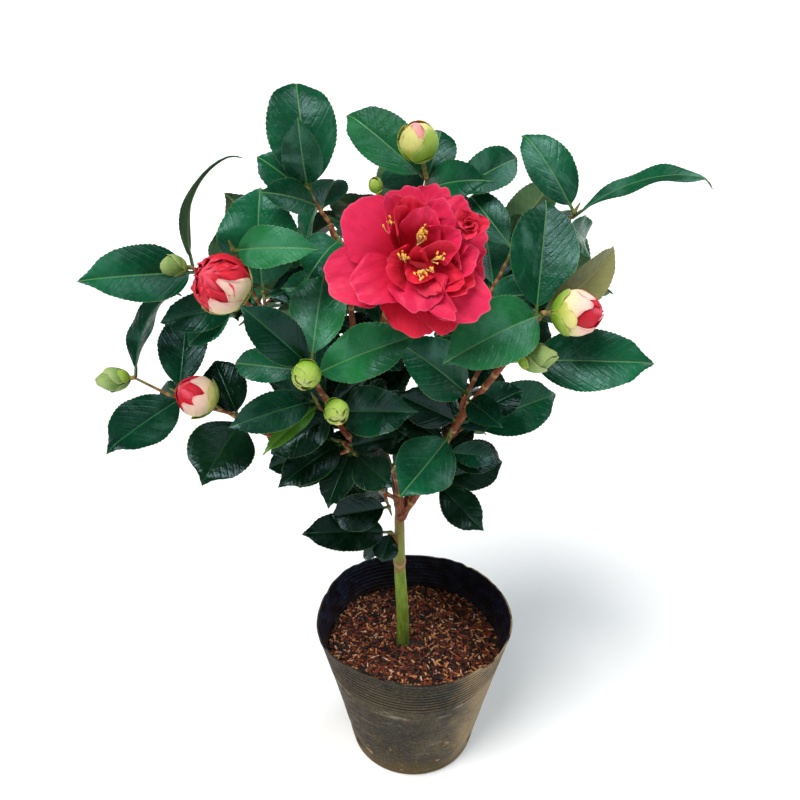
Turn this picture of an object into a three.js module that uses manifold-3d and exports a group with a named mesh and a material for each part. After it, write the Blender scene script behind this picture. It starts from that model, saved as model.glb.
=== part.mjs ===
// A camellia shrub in a soft nursery pot, in millimetres with +Z up.
// The origin is the centre of the pot's flat underside. Bearings are measured
// from +X towards +Y and rises from the horizontal, both in degrees.
import * as THREE from 'three';
import { mergeVertices } from 'three/addons/utils/BufferGeometryUtils.js';
import Module from 'manifold-3d';

const wasm = await Module();
wasm.setup();

// ---------------------------------------------------------------- dimensions

const GAP = 0.3;
const POT = {
  baseRadius: 60, rimRadius: 90, height: 158, wall: 1.6, floor: 3, sides: 32,
  holes: 3, firstHole: 93, holeRadius: 5, holeHeight: 18, holeSides: 8, drill: 12,
};
const POT_LEVELS = [0, 0.4, 0.75, 1];
const SOIL = { top: 122, mound: 3, crown: 0.6, room: 0.5 };
const GROUND = SOIL.top + GAP;
const ROOT_FLARE = 1.5;
const LIMB_SIDES = 7;
const TRUNK_FLARE_FALL = 14;
const TWIG = { sides: 3, steps: 2, foot: 1.9, tip: 1.2, sag: 0.06 };
const STEM = { sides: 6, length: 3, tail: 0.6 };

const LEAF = {
  thick: 1.1, petiole: 0.09, petioleWidth: 2.6, widthShare: 0.5, tipWidth: 1.4,
  arch: 28, archPower: 1.4, fold: 14, slices: 20,
};
const BLADE_ROWS = [0, 0.1, 0.27, 0.5, 0.76, 1];
const LEAF_FACE = { up: 0.62, out: 0.78 };
const LEAF_SPACING = 4.5;
const LEAF_LUCK = { width: 0.08, arch: 20, roll: 16, fold: 10, twist: 24 };
const LEAF_SEED = { first: 101, step: 37 };
const TWIG_START = 0.15;
const BUD = { sides: 8, middle: 0.45, stemInto: 0.3, stemRadius: 1.7 };
const BUD_PROFILE = [[0, 0], [0.82, 0.18], [1, 0.45], [0.66, 0.82], [0, 1]];
const ROD_STEP = 4;
const CLEAR = { leaf: 5, limb: 2.2, bud: 2, ownFrom: 0.3 };
const PROBE = { rows: 13, columns: 7, from: 0.14 };
const NUDGE = { rings: [0, 5, 10, 16, 24], ways: 6 };
const CROWN = { floor: 205, centre: [-15, 20, 430], across: 292, deep: 205, tall: 262 };

const BLOOM = {
  centre: [-6, -95, 568], bearing: 270, rise: 32, behind: 24, space: 52, depth: 34,
  stem: 1.9, cupLength: 20, cupRadius: 8, cupDeep: 6,
};
// Each ring of petals: how many, their length and width, how far they stand up
// from the flower's face, how far they curl back, and their cupping.
const PETAL_RINGS = [
  { count: 7, length: 53, width: 52, stand: 24, curl: 34, cup: 12, turn: 10 },
  { count: 6, length: 45, width: 42, stand: 42, curl: 44, cup: 18, turn: 38 },
  { count: 4, length: 34, width: 32, stand: 62, curl: 34, cup: 22, turn: 5 },
];
const PETAL = { thick: 1.4, rootWidth: 6, rootOut: 5, lap: 13, seed: 4801 };
const PETAL_LUCK = { turn: 0.3, stand: 8, length: 0.1 };

// --------------------------------------------------------------- growing plan

// Trunk and boughs: the places they pass through, and their end radii.
const LIMBS = {
  trunk: {
    route: [[-10, 0, GROUND], [-10.5, 0, 165], [-13, 0, 222], [-13, 1, 296]],
    radii: [6.2, 4.2],
  },
  right_bough: {
    route: [[-13, 0, 276], [4, -5, 311], [26, -15, 371], [46, -25, 416], [84, -43, 490]],
    radii: [3.6, 2.2],
  },
  right_low_spur: { route: [[40, -21, 402], [39, -32, 414]], radii: [1.9, 1.6] },
  right_rear_spur: { route: [[25, -14, 368], [34, -5, 371]], radii: [1.9, 1.6] },
  right_side_spur: { route: [[70, -36, 465], [80, -41, 468]], radii: [1.9, 1.6] },
  top_right_bough: {
    route: [[62, -33, 448], [84, 8, 488], [108, 34, 526]],
    radii: [2.3, 1.7],
  },
  left_bough: {
    route: [[-13, -2, 290], [-17, -6, 330], [-41, -15, 361], [-57, -25, 386], [-76, -54, 452]],
    radii: [3.4, 2.1],
  },
  left_low_spur: { route: [[-44, -16, 364], [-56, -22, 372]], radii: [1.8, 1.5] },
  left_side_spur: { route: [[-62, -31, 400], [-70, -42, 414]], radii: [1.8, 1.5] },
  upper_left_bough: {
    route: [[-60, -28, 396], [-88, -20, 440], [-112, -14, 482]],
    radii: [2.4, 1.8],
  },
  far_left_bough: {
    route: [[-46, -18, 366], [-75, -8, 352], [-124, 0, 366], [-150, -4, 388]],
    radii: [2.3, 1.7],
  },
  outer_left_bough: {
    route: [[-100, -18, 460], [-128, -6, 490], [-150, -2, 505]],
    radii: [1.9, 1.6],
  },
  leader: {
    route: [[-13, 3, 290], [-26, 10, 340], [-46, 12, 400], [-52, 11, 490], [-64, 10, 546]],
    radii: [3.3, 2.0],
  },
  top_bough: {
    route: [[-44, 12, 396], [-26, 26, 460], [-6, 34, 520], [4, 31, 556]],
    radii: [2.5, 1.9],
  },
  bloom_bough: {
    route: [[-36, 18, 420], [-24, -8, 465], [-22, -34, 508]],
    radii: [2.2, 1.9],
  },
  middle_right_bough: {
    route: [[-12, 26, 500], [20, 22, 490], [50, 8, 488]],
    radii: [2.0, 1.7],
  },
  inner_left_bough: {
    route: [[-45, 12, 398], [-68, 38, 432], [-82, 52, 462]],
    radii: [2.1, 1.7],
  },
  inner_right_bough: {
    route: [[22, -12, 362], [46, 18, 402], [70, 40, 438]],
    radii: [2.1, 1.7],
  },
  trunk_spur: { route: [[-15, -2, 246], [-19, -6, 262]], radii: [1.9, 1.6] },
  fork_spur: { route: [[-15, -4, 300], [-24, -12, 312]], radii: [1.9, 1.6] },
  front_spur: { route: [[6, -6, 315], [16, -16, 326]], radii: [1.9, 1.6] },
  back_right_bough: {
    route: [[-12, 3, 280], [14, 34, 330], [52, 84, 410], [70, 108, 456]],
    radii: [3.0, 1.9],
  },
  back_left_bough: {
    route: [[-13, 5, 300], [-40, 42, 346], [-84, 82, 400], [-112, 100, 450]],
    radii: [2.9, 1.9],
  },
  back_bough: {
    route: [[-10, 28, 328], [-16, 70, 390], [-18, 108, 470]],
    radii: [2.6, 1.8],
  },
};

// Masses of foliage. Each hangs on one bough and has shoots; a shoot has its
// tip and its set leaves: bearing, rise, length, width, arch and roll.
// "more" leaves follow the spiral. A bud: bearing, rise, stalk, length, radius.
const MASSES = {
  foliage_top_left: {
    bough: 'leader', face: 265,
    shoots: [
      {
        tip: [-80, 10, 577],
        leaves: [
          [247, 80, 56, 30], [104, 58, 92, 52, 80], [176, 46, 54, 32, 45], [222, 26, 56, 26, 45],
          [80, 8, 50, 30], [42, -24, 70, 26, 60, 50],
        ],
      },
      { tip: [-57, 3, 538], leaves: [[240, -18, 52, 36, 80]] },
    ],
  },
  foliage_upper_left: {
    bough: 'upper_left_bough', face: 268,
    shoots: [
      { tip: [-117, 2, 497], leaves: [[89, 70, 84, 62, 62], [20, 10, 58, 30]] },
      { tip: [-133, -20, 542], leaves: [[328, -11, 72, 32, 60]] },
    ],
  },
  foliage_left: {
    bough: 'outer_left_bough', face: 262,
    shoots: [
      {
        tip: [-169, 0, 518],
        leaves: [[35, 58, 106, 30, 95, -80], [200, 12, 93, 46, 20]],
        buds: [[212, 16, 5, 29, 10]],
      },
      { tip: [-128, -27, 509], leaves: [], buds: [[228, 42, 5, 40, 20]] },
      { tip: [-136, 2, 485], leaves: [[200, -4, 62, 32], [215, -36, 50, 28]] },
    ],
  },
  foliage_far_left: {
    bough: 'far_left_bough', face: 265,
    shoots: [
      { tip: [-226, 0, 421], leaves: [[62, 36, 90, 40, 75, -34]], buds: [[184, -4, 4, 29, 10]] },
      { tip: [-192, -2, 408], leaves: [[88, 36, 78, 42], [236, -3, 85, 44, 20], [145, -8, 38, 22]] },
      { tip: [-161, -12, 403], leaves: [], buds: [[210, 42, 4, 34, 17]] },
      { tip: [-139, -8, 387], leaves: [[250, -12, 74, 54, 26], [120, 34, 56, 38]] },
    ],
  },
  foliage_centre_left: {
    bough: 'left_bough', face: 268,
    shoots: [
      {
        tip: [-77, -60, 472],
        leaves: [
          [80, 44, 78, 44, 20], [192, 50, 74, 34], [165, -2, 64, 26], [345, 30, 92, 42, 34],
          [30, 2, 66, 30],
        ],
        buds: [[262, -8, 6, 22, 11]],
      },
      { tip: [-62, -62, 436], leaves: [], buds: [[285, 5, 3, 20, 10]] },
    ],
  },
  foliage_lower_left: {
    bough: 'left_side_spur', face: 262,
    shoots: [
      { tip: [-77, -46, 430], leaves: [[222, 14, 84, 30, 50], [234, -8, 66, 15, 34]] },
      { tip: [-58, -44, 418], leaves: [[330, 18, 72, 40], [205, -24, 60, 34]] },
    ],
  },
  foliage_low_left: {
    bough: 'left_low_spur', face: 262,
    shoots: [
      { tip: [-62, -22, 374], leaves: [[148, -14, 60, 32], [178, -34, 62, 32], [228, -4, 72, 34]] },
      { tip: [-48, -34, 370], leaves: [[300, 6, 60, 34], [250, -24, 52, 30]] },
    ],
  },
  foliage_fork: {
    bough: 'fork_spur', face: 262,
    shoots: [
      { tip: [-30, -12, 322], leaves: [[155, -12, 62, 40], [199, 43, 40, 24]] },
      { tip: [-22, -18, 302], leaves: [[195, 8, 52, 34, 40], [100, -20, 48, 28]] },
    ],
  },
  foliage_trunk: {
    bough: 'trunk_spur', face: 262,
    shoots: [
      { tip: [-22, -8, 266], leaves: [[201, 24, 84, 36, 50], [240, -50, 28, 24], [180, -52, 44, 12, 50]] },
    ],
  },
  foliage_front: {
    bough: 'front_spur', face: 272,
    shoots: [
      { tip: [20, -20, 334], leaves: [[24, 0, 62, 34], [312, -18, 58, 32], [352, -22, 34, 15]] },
      { tip: [27, -30, 386], leaves: [[238, -8, 76, 50, 26]] },
    ],
  },
  foliage_right: {
    bough: 'right_bough', face: 275,
    shoots: [
      { tip: [90, -46, 504], leaves: [[212, -10, 94, 48, 60]], buds: [[345, 8, 8, 36, 17]] },
      { tip: [88, -26, 490], leaves: [[80, 52, 92, 54, 20], [28, 34, 84, 34, 44, 30]] },
    ],
  },
  foliage_right_side: {
    bough: 'right_side_spur', face: 280,
    shoots: [
      { tip: [80, -34, 458], leaves: [[350, 4, 98, 50, 20], [75, -4, 62, 34]] },
      { tip: [69, -64, 475], leaves: [], buds: [[350, 12, 4, 30, 10.5]] },
    ],
  },
  foliage_right_low: {
    bough: 'right_low_spur', face: 275,
    shoots: [
      { tip: [40, -39, 430], leaves: [[192, 44, 80, 46], [300, 2, 46, 26]] },
    ],
  },
  foliage_right_rear: {
    bough: 'right_rear_spur', face: 275,
    shoots: [
      { tip: [42, -2, 376], leaves: [[14, 14, 84, 46, 24], [40, 2, 80, 40], [100, 20, 64, 36]] },
    ],
  },
  foliage_top_right: {
    bough: 'top_right_bough', face: 275,
    shoots: [
      {
        tip: [121, 38, 547],
        leaves: [[132, 40, 78, 40, 40], [2, 14, 120, 30, 66, -42], [60, -38, 60, 34], [88, -14, 66, 34]],
      },
    ],
  },
  foliage_top: {
    bough: 'top_bough', face: 270,
    shoots: [
      {
        tip: [7, 30, 576],
        leaves: [[150, 30, 82, 44, 25], [70, 42, 50, 32], [318, 22, 70, 32, 62], [112, 4, 64, 38]],
        buds: [[228, 72, 18, 31, 14.5]],
      },
      { tip: [25, 32, 562], leaves: [[28, 18, 66, 34, 40], [80, 4, 62, 34]] },
      { tip: [-28, 22, 566], leaves: [[165, -14, 52, 30]], buds: [[200, 70, 3, 13, 6]] },
    ],
  },
  foliage_middle_right: {
    bough: 'middle_right_bough', face: 275,
    shoots: [
      { tip: [60, 8, 496], leaves: [[92, 12, 74, 42], [66, 2, 76, 40], [340, 14, 60, 34]] },
      { tip: [72, 8, 530], leaves: [[127, 27, 62, 30], [30, 10, 60, 32]] },
    ],
  },
  foliage_inner_left: {
    bough: 'inner_left_bough', face: 200,
    shoots: [
      { tip: [-92, 56, 492], leaves: [], more: 4, turn: 60 },
      { tip: [-60, 62, 458], leaves: [], more: 3, turn: 40 },
    ],
  },
  foliage_inner_right: {
    bough: 'inner_right_bough', face: 320,
    shoots: [
      { tip: [90, 38, 470], leaves: [], more: 4, turn: 15 },
      { tip: [44, 54, 446], leaves: [], more: 3, turn: 120 },
    ],
  },
  foliage_back_right: {
    bough: 'back_right_bough', face: 60,
    shoots: [
      { tip: [78, 126, 474], leaves: [], more: 6, turn: 20 },
      { tip: [116, 92, 428], leaves: [], more: 4, turn: 60 },
      { tip: [46, 122, 428], leaves: [], more: 3, turn: 80 },
    ],
  },
  foliage_back_left: {
    bough: 'back_left_bough', face: 130,
    shoots: [
      { tip: [-116, 116, 470], leaves: [], more: 6, turn: 20 },
      { tip: [-148, 90, 424], leaves: [], more: 4, turn: 120 },
      { tip: [-88, 116, 408], leaves: [], more: 3, turn: 90 },
    ],
  },
  foliage_back: {
    bough: 'back_bough', face: 90,
    shoots: [
      { tip: [-20, 120, 498], leaves: [], more: 6, turn: 80 },
      { tip: [-14, 142, 450], leaves: [], more: 4, turn: 60 },
    ],
  },
};
const SPIRAL = { step: 137.5, top: 52, fall: 13, longest: 84, shrink: 3, luck: 10 };

// -------------------------------------------------------------------- finish

function finish(colour, roughness) {
  return new THREE.MeshStandardMaterial({ color: colour, roughness, metalness: 0 });
}

const FINISH = {
  pot: finish(0x2a2926, 0.55),
  soil: finish(0x4d2f21, 0.95),
  trunk: finish(0x64822e, 0.7),
  bough: finish(0x5e3a1c, 0.8),
  leaf: finish(0x1d4a36, 0.35),
  bloom: finish(0xc91d38, 0.6),
};

// -------------------------------------------------------------------- solids

// Makes a manifold solid from a closed three.js geometry.
function solidOf(geometry) {
  const bare = geometry.clone();
  bare.deleteAttribute('normal');
  bare.deleteAttribute('uv');
  const merged = mergeVertices(bare, 1e-4);
  const corners = merged.index.array;
  const kept = [];
  for (let i = 0; i < corners.length; i += 3) {
    const [a, b, c] = corners.slice(i, i + 3);
    if (a !== b && b !== c && c !== a) kept.push(a, b, c);
  }
  const vertProperties = Float32Array.from(merged.attributes.position.array);
  return new wasm.Manifold(new wasm.Mesh({ numProp: 3, vertProperties, triVerts: Uint32Array.from(kept) }));
}

// Gives a solid back as a three.js geometry.
function geometryOf(solid) {
  const mesh = solid.getMesh();
  const geometry = new THREE.BufferGeometry();
  geometry.setAttribute('position', new THREE.BufferAttribute(Float32Array.from(mesh.vertProperties), 3));
  geometry.setIndex(new THREE.BufferAttribute(Uint32Array.from(mesh.triVerts), 1));
  geometry.computeVertexNormals();
  return geometry;
}

// Joins solids and keeps the largest body, so that no loose scrap is left.
function joined(solids) {
  const bodies = wasm.Manifold.union(solids).decompose();
  bodies.sort((one, other) => other.volume() - one.volume());
  return bodies[0];
}

// Cuts a solid clear of its neighbours and keeps the largest body.
function clearOf(solid, cutters) {
  const cut = cutters.reduce((left, cutter) => left.subtract(cutter), solid);
  return joined([cut]);
}

// Moves every vertex of a geometry with a function of its old place.
function reshaped(geometry, place) {
  const spots = geometry.attributes.position;
  for (let i = 0; i < spots.count; i += 1) {
    const moved = place(spots.getX(i), spots.getY(i), spots.getZ(i));
    spots.setXYZ(i, moved.x, moved.y, moved.z);
  }
  return geometry;
}

const rad = THREE.MathUtils.degToRad;
const point = (list) => new THREE.Vector3(...list);
const mix = THREE.MathUtils.lerp;

function heading(bearing, rise) {
  const flat = Math.cos(rad(rise));
  return new THREE.Vector3(flat * Math.cos(rad(bearing)), flat * Math.sin(rad(bearing)), Math.sin(rad(rise)));
}

// The same run of numbers from 0 to 1 for the same seed, by Lehmer's rule.
function chance(seed) {
  let state = seed;
  return () => {
    state = (state * 16807) % 2147483647;
    return state / 2147483647;
  };
}

// --------------------------------------------------------------------- limbs

function routeOf(points) {
  return new THREE.CatmullRomCurve3(points, false, 'catmullrom', 0.5);
}

// A tapering tube along a curve: a cylinder whose rings are moved onto it.
function limbSolid(curve, radiusAt, sides, steps) {
  const frames = curve.computeFrenetFrames(steps, false);
  const cylinder = new THREE.CylinderGeometry(1, 1, 1, sides, steps);
  return solidOf(reshaped(cylinder, (x, y, z) => {
    const ring = Math.round((0.5 - y) * steps);
    const share = ring / steps;
    const radius = radiusAt(share);
    return curve.getPoint(share)
      .addScaledVector(frames.normals[ring], x * radius)
      .addScaledVector(frames.binormals[ring], z * radius);
  }));
}

function limbRadius(name, share, extra = 0) {
  const [foot, tip] = LIMBS[name].radii;
  const flare = name === 'trunk' ? ROOT_FLARE * Math.exp(-share * TRUNK_FLARE_FALL) : 0;
  return mix(foot, tip, share) + flare + extra;
}

function limb(name, extra = 0) {
  const points = LIMBS[name].route.map(point);
  const steps = points.length === 2 ? 1 : (points.length - 1) * 2;
  return limbSolid(routeOf(points), (share) => limbRadius(name, share, extra), LIMB_SIDES, steps);
}

// ----------------------------------------------------------- blades: the rule

// A blade's frame: its root, its heading, the way its face looks, and its side.
function bladeFrame(root, bearing, rise, face, roll) {
  const ahead = heading(bearing, rise);
  const look = heading(face, 0).multiplyScalar(LEAF_FACE.out).add(new THREE.Vector3(0, 0, LEAF_FACE.up));
  const up = look.addScaledVector(ahead, -look.dot(ahead)).normalize();
  up.applyAxisAngle(ahead, rad(roll));
  return { root, ahead, up, side: ahead.clone().cross(up) };
}

// How far a blade has got, and its slope, at a share of its length. It starts
// above its heading and bends over, so that it ends near it.
function bladeRun(blade, share) {
  const mean = 1 / (LEAF.archPower + 1);
  const slope = (at) => rad(blade.arch) * (mean - at ** LEAF.archPower);
  let along = 0;
  let above = 0;
  for (let k = 0; k < LEAF.slices; k += 1) {
    const at = share * (k + 0.5) / LEAF.slices;
    along += Math.cos(slope(at)) / LEAF.slices;
    above += Math.sin(slope(at)) / LEAF.slices;
  }
  return { along: along * share * blade.length, above: above * share * blade.length, slope: slope(share) };
}

// Half the width of a leaf at a share of its length.
function leafHalfWidth(leaf, share) {
  if (share <= LEAF.petiole) return LEAF.petioleWidth / 2;
  const along = (share - LEAF.petiole) / (1 - LEAF.petiole);
  const full = Math.max(Math.sin(Math.PI * along ** 0.92), 0) ** 0.72;
  const drip = 1 - 0.4 * THREE.MathUtils.smoothstep(along, 0.8, 1);
  return Math.max(0.5 * leaf.width * full * drip, LEAF.tipWidth / 2);
}

// A place on a blade: a share of its length, across from -1 to 1, and lifted.
function bladePoint(blade, share, across, lift, halfWidth) {
  const run = bladeRun(blade, share);
  const twist = rad(blade.twist) * share;
  const normal = blade.up.clone().multiplyScalar(Math.cos(run.slope))
    .addScaledVector(blade.ahead, -Math.sin(run.slope));
  const side = blade.side.clone().multiplyScalar(Math.cos(twist))
    .addScaledVector(normal, Math.sin(twist));
  const face = normal.clone().multiplyScalar(Math.cos(twist))
    .addScaledVector(blade.side, -Math.sin(twist));
  const reach = across * halfWidth;
  return blade.root.clone()
    .addScaledVector(blade.ahead, run.along)
    .addScaledVector(blade.up, run.above)
    .addScaledVector(side, reach * Math.cos(rad(blade.fold)))
    .addScaledVector(face, Math.abs(reach) * Math.sin(rad(blade.fold)) + lift);
}

// A blade is a three-sided tube laid flat: its edges and the keel under its
// midrib. The ring's corners lie at x = ±EDGE_X, z = -0.5 and at x = 0, z = 1.
const EDGE_X = Math.sin(rad(120));

function bladeSolid(blade, halfWidthAt, thick) {
  const rows = BLADE_ROWS.length - 1;
  const tube = new THREE.CylinderGeometry(1, 1, 1, 3, rows);
  return solidOf(reshaped(tube, (x, y, z) => {
    const share = BLADE_ROWS[Math.round((0.5 - y) * rows)];
    const lift = -thick * (z + 0.5) / 1.5;
    return bladePoint(blade, share, x / EDGE_X, lift, halfWidthAt(blade, share));
  }));
}

// The places on a leaf that are tested for room.
function leafProbes(leaf) {
  const probes = [];
  for (let row = 0; row < PROBE.rows; row += 1) {
    const share = mix(PROBE.from, 1, row / (PROBE.rows - 1));
    for (let column = 0; column < PROBE.columns; column += 1) {
      const across = 2 * column / (PROBE.columns - 1) - 1;
      const spot = bladePoint(leaf, share, across, 0, leafHalfWidth(leaf, share));
      probes.push({ spot, share, mass: leaf.mass });
    }
  }
  return probes;
}

// ----------------------------------------------------------- room for a leaf

// The limbs, twigs, buds and leaves that are already in place.
const taken = { rods: [], balls: [], leaves: [] };

function takeRod(curve, foot, tip, mass) {
  const length = curve.getPoint(0).distanceTo(curve.getPoint(1));
  const count = Math.ceil(length / ROD_STEP);
  for (let k = 0; k <= count; k += 1) {
    const share = k / count;
    taken.rods.push({ spot: curve.getPoint(share), radius: mix(foot, tip, share), mass });
  }
}

function insideCrown(spot) {
  const [x, y, z] = CROWN.centre;
  const reach = ((spot.x - x) / CROWN.across) ** 2 + ((spot.y - y) / CROWN.deep) ** 2
    + ((spot.z - z) / CROWN.tall) ** 2;
  return reach < 1 && spot.z > CROWN.floor;
}

const bloomAhead = heading(BLOOM.bearing, BLOOM.rise);
const bloomCentre = point(BLOOM.centre);

function insideBloom(spot) {
  const from = spot.clone().sub(bloomCentre);
  const deep = from.dot(bloomAhead);
  const wide = Math.sqrt(Math.max(from.lengthSq() - deep * deep, 0));
  return (wide / BLOOM.space) ** 2 + (deep / BLOOM.depth) ** 2 < 1;
}

function hasRoom(probes) {
  return probes.every((probe) => {
    if (!insideCrown(probe.spot) || insideBloom(probe.spot)) return false;
    const crowded = (other, room) => {
      const own = other.mass === probe.mass || other.mass === MASSES[probe.mass].bough;
      if (own && probe.share < CLEAR.ownFrom) return false;
      return other.spot.distanceToSquared(probe.spot) < room * room;
    };
    if (taken.rods.some((rod) => crowded(rod, rod.radius + CLEAR.limb))) return false;
    if (taken.balls.some((ball) => crowded(ball, ball.radius + CLEAR.bud))) return false;
    return !taken.leaves.some((leaf) => !(leaf.mass === probe.mass && leaf.share < CLEAR.ownFrom)
      && crowded(leaf, CLEAR.leaf));
  });
}

// Tries a leaf at ever wider turns round its own heading, and leaves it out
// where none of them has room.
function placeLeaf(plan) {
  for (const ring of NUDGE.rings) {
    for (let way = 0; way < (ring === 0 ? 1 : NUDGE.ways); way += 1) {
      const turn = 2 * Math.PI * way / NUDGE.ways;
      const bearing = plan.bearing + ring * Math.cos(turn);
      const rise = plan.rise + ring * Math.sin(turn);
      const leaf = { ...plan, ...bladeFrame(plan.root, bearing, rise, plan.face, plan.roll) };
      const probes = leafProbes(leaf);
      if (hasRoom(probes)) {
        taken.leaves.push(...probes);
        return leaf;
      }
    }
  }
  return null;
}

// --------------------------------------------------------------- foliage mass

function budSolid(bud) {
  const lathe = new THREE.LatheGeometry(
    BUD_PROFILE.map(([radius, along]) => new THREE.Vector2(radius * bud.radius, along * bud.length)),
    BUD.sides,
  );
  const turn = new THREE.Quaternion().setFromUnitVectors(new THREE.Vector3(0, 1, 0), bud.ahead);
  return solidOf(reshaped(lathe, (x, y, z) => point([x, y, z]).applyQuaternion(turn).add(bud.root)));
}

// The twigs of a mass: each runs from its bough's tip out to a shoot's tip.
function twigCurve(start, tip) {
  const sag = start.distanceTo(tip) * TWIG.sag;
  const middle = start.clone().lerp(tip, 0.5).add(new THREE.Vector3(0, 0, -sag));
  return routeOf([start, middle, tip]);
}

function boughTip(name) {
  const points = LIMBS[name].route.map(point);
  const end = points[points.length - 1];
  const ahead = routeOf(points).getTangent(1);
  return { end, ahead };
}

// Works out a mass: its stem, its twigs, and then what its shoots carry.
function planMass(name, order) {
  const { bough, face, shoots } = MASSES[name];
  const { end, ahead } = boughTip(bough);
  const start = end.clone().addScaledVector(ahead, GAP);
  const heart = start.clone().addScaledVector(ahead, STEM.length);
  const next = chance(LEAF_SEED.first + LEAF_SEED.step * order);
  const twigs = shoots.map((shoot) => twigCurve(heart, point(shoot.tip)));
  twigs.forEach((curve) => takeRod(curve, TWIG.foot, TWIG.tip, name));
  const buds = [];
  const wishes = [];
  shoots.forEach((shoot, index) => {
    const curve = twigs[index];
    const span = heart.distanceTo(point(shoot.tip));
    const spotBack = (back) => curve.getPoint(Math.max(1 - back / span, TWIG_START));
    (shoot.buds ?? []).forEach(([bearing, rise, stalk, length, radius]) => {
      const way = heading(bearing, rise);
      const root = point(shoot.tip).addScaledVector(way, stalk);
      buds.push({ root, ahead: way, length, radius, stalk, foot: point(shoot.tip) });
      taken.balls.push({ spot: root.clone().addScaledVector(way, length * BUD.middle), radius, mass: name });
    });
    const leaves = shoot.leaves.slice();
    for (let k = 0; k < (shoot.more ?? 0); k += 1) {
      const length = SPIRAL.longest - SPIRAL.shrink * k + SPIRAL.luck * (next() - 0.5);
      leaves.push([shoot.turn + SPIRAL.step * k, SPIRAL.top - SPIRAL.fall * k, length]);
    }
    leaves.forEach(([bearing, rise, length, width, arch, roll], place) => {
      const draws = [next(), next(), next(), next()];
      wishes.push({
        mass: name,
        root: spotBack(1 + LEAF_SPACING * place),
        bearing,
        rise,
        face,
        length,
        width: width ?? length * (LEAF.widthShare + LEAF_LUCK.width * (draws[0] - 0.5)),
        arch: arch ?? LEAF.arch + LEAF_LUCK.arch * (draws[1] - 0.5),
        roll: (roll ?? 0) + LEAF_LUCK.roll * (draws[2] - 0.5),
        fold: LEAF.fold + LEAF_LUCK.fold * (draws[3] - 0.5),
        twist: LEAF_LUCK.twist * (draws[1] - 0.5),
      });
    });
  });
  return { name, start, heart, twigs, buds, wishes };
}

function twigSolid(curve, foot, tip, steps = TWIG.steps) {
  return limbSolid(curve, (share) => mix(foot, tip, share), TWIG.sides, steps);
}

function massSolid(plan, leaves) {
  const boughRadius = LIMBS[MASSES[plan.name].bough].radii[1];
  const stem = limbSolid(
    new THREE.LineCurve3(plan.start, plan.heart.clone().lerp(plan.start, -STEM.tail)),
    () => boughRadius,
    STEM.sides,
    1,
  );
  const solids = [stem];
  plan.twigs.forEach((curve) => solids.push(twigSolid(curve, TWIG.foot, TWIG.tip)));
  plan.buds.forEach((bud) => {
    const inside = bud.root.clone().addScaledVector(bud.ahead, bud.length * BUD.stemInto);
    solids.push(twigSolid(new THREE.LineCurve3(bud.foot, inside), BUD.stemRadius, BUD.stemRadius, 1));
    solids.push(budSolid(bud));
  });
  leaves.forEach((leaf) => solids.push(bladeSolid(leaf, leafHalfWidth, LEAF.thick)));
  return joined(solids);
}

// --------------------------------------------------------------------- bloom

function petalHalfWidth(petal, share) {
  const full = Math.sin(Math.PI * Math.min(0.08 + 0.82 * share ** 0.8, 0.93));
  return Math.max(0.5 * petal.width * full, PETAL.rootWidth / 2);
}

// Petals stand in rings round the flower's middle and look along its heading.
function bloomPetals() {
  const next = chance(PETAL.seed);
  const across = new THREE.Vector3(1, 0, 0);
  const above = across.clone().cross(bloomAhead).negate();
  const root = bloomCentre.clone().addScaledVector(bloomAhead, -BLOOM.behind);
  const petals = [];
  PETAL_RINGS.forEach((ring) => {
    for (let k = 0; k < ring.count; k += 1) {
      const turn = rad(ring.turn + 360 * (k + PETAL_LUCK.turn * (next() - 0.5)) / ring.count);
      const outward = across.clone().multiplyScalar(Math.cos(turn)).addScaledVector(above, Math.sin(turn));
      const stand = rad(ring.stand + PETAL_LUCK.stand * (next() - 0.5));
      const ahead = outward.clone().multiplyScalar(Math.cos(stand))
        .addScaledVector(bloomAhead, Math.sin(stand));
      const up = bloomAhead.clone().multiplyScalar(Math.cos(stand))
        .addScaledVector(outward, -Math.sin(stand));
      up.applyAxisAngle(ahead, rad(PETAL.lap));
      petals.push({
        root: root.clone().addScaledVector(outward, PETAL.rootOut),
        ahead,
        up,
        side: ahead.clone().cross(up),
        length: ring.length * (1 + PETAL_LUCK.length * (next() - 0.5)),
        width: ring.width,
        arch: ring.curl,
        fold: ring.cup,
        twist: 0,
      });
    }
  });
  return petals;
}

function bloomSolid() {
  const { end, ahead } = boughTip('bloom_bough');
  const start = end.clone().addScaledVector(ahead, GAP);
  const root = bloomCentre.clone().addScaledVector(bloomAhead, -BLOOM.behind - BLOOM.cupDeep);
  const inside = root.clone().addScaledVector(bloomAhead, BLOOM.cupLength / 2);
  const middle = start.clone().lerp(root, 0.5);
  const stem = limbSolid(routeOf([start, middle, root, inside]), () => BLOOM.stem, STEM.sides, 4);
  const cup = budSolid({ root, ahead: bloomAhead, length: BLOOM.cupLength, radius: BLOOM.cupRadius });
  const petals = bloomPetals().map((petal) => bladeSolid(petal, petalHalfWidth, PETAL.thick));
  return joined([stem, cup, ...petals]);
}

// ------------------------------------------------------------- pot and soil

// The soft wall leans in and out round the pot, most of all at its rim.
function potWave(turn, z) {
  const height = z / POT.height;
  const out = (2.4 * Math.sin(2 * turn + 0.9) + 1.2 * Math.sin(5 * turn + 0.4)) * height * height;
  const lift = (3.2 * Math.sin(turn + 0.7) + 1.4 * Math.sin(3 * turn + 2)) * height ** 6;
  return { out, lift };
}

function potShape(x, y, z) {
  const turn = Math.atan2(z, x);
  const radius = Math.hypot(x, z);
  const wave = potWave(turn, y);
  const wide = radius + wave.out * Math.min(radius / POT.baseRadius, 1);
  const high = y + wave.lift * Math.min(radius / POT.baseRadius, 1);
  return point([wide * Math.cos(turn), -wide * Math.sin(turn), high]);
}

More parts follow.
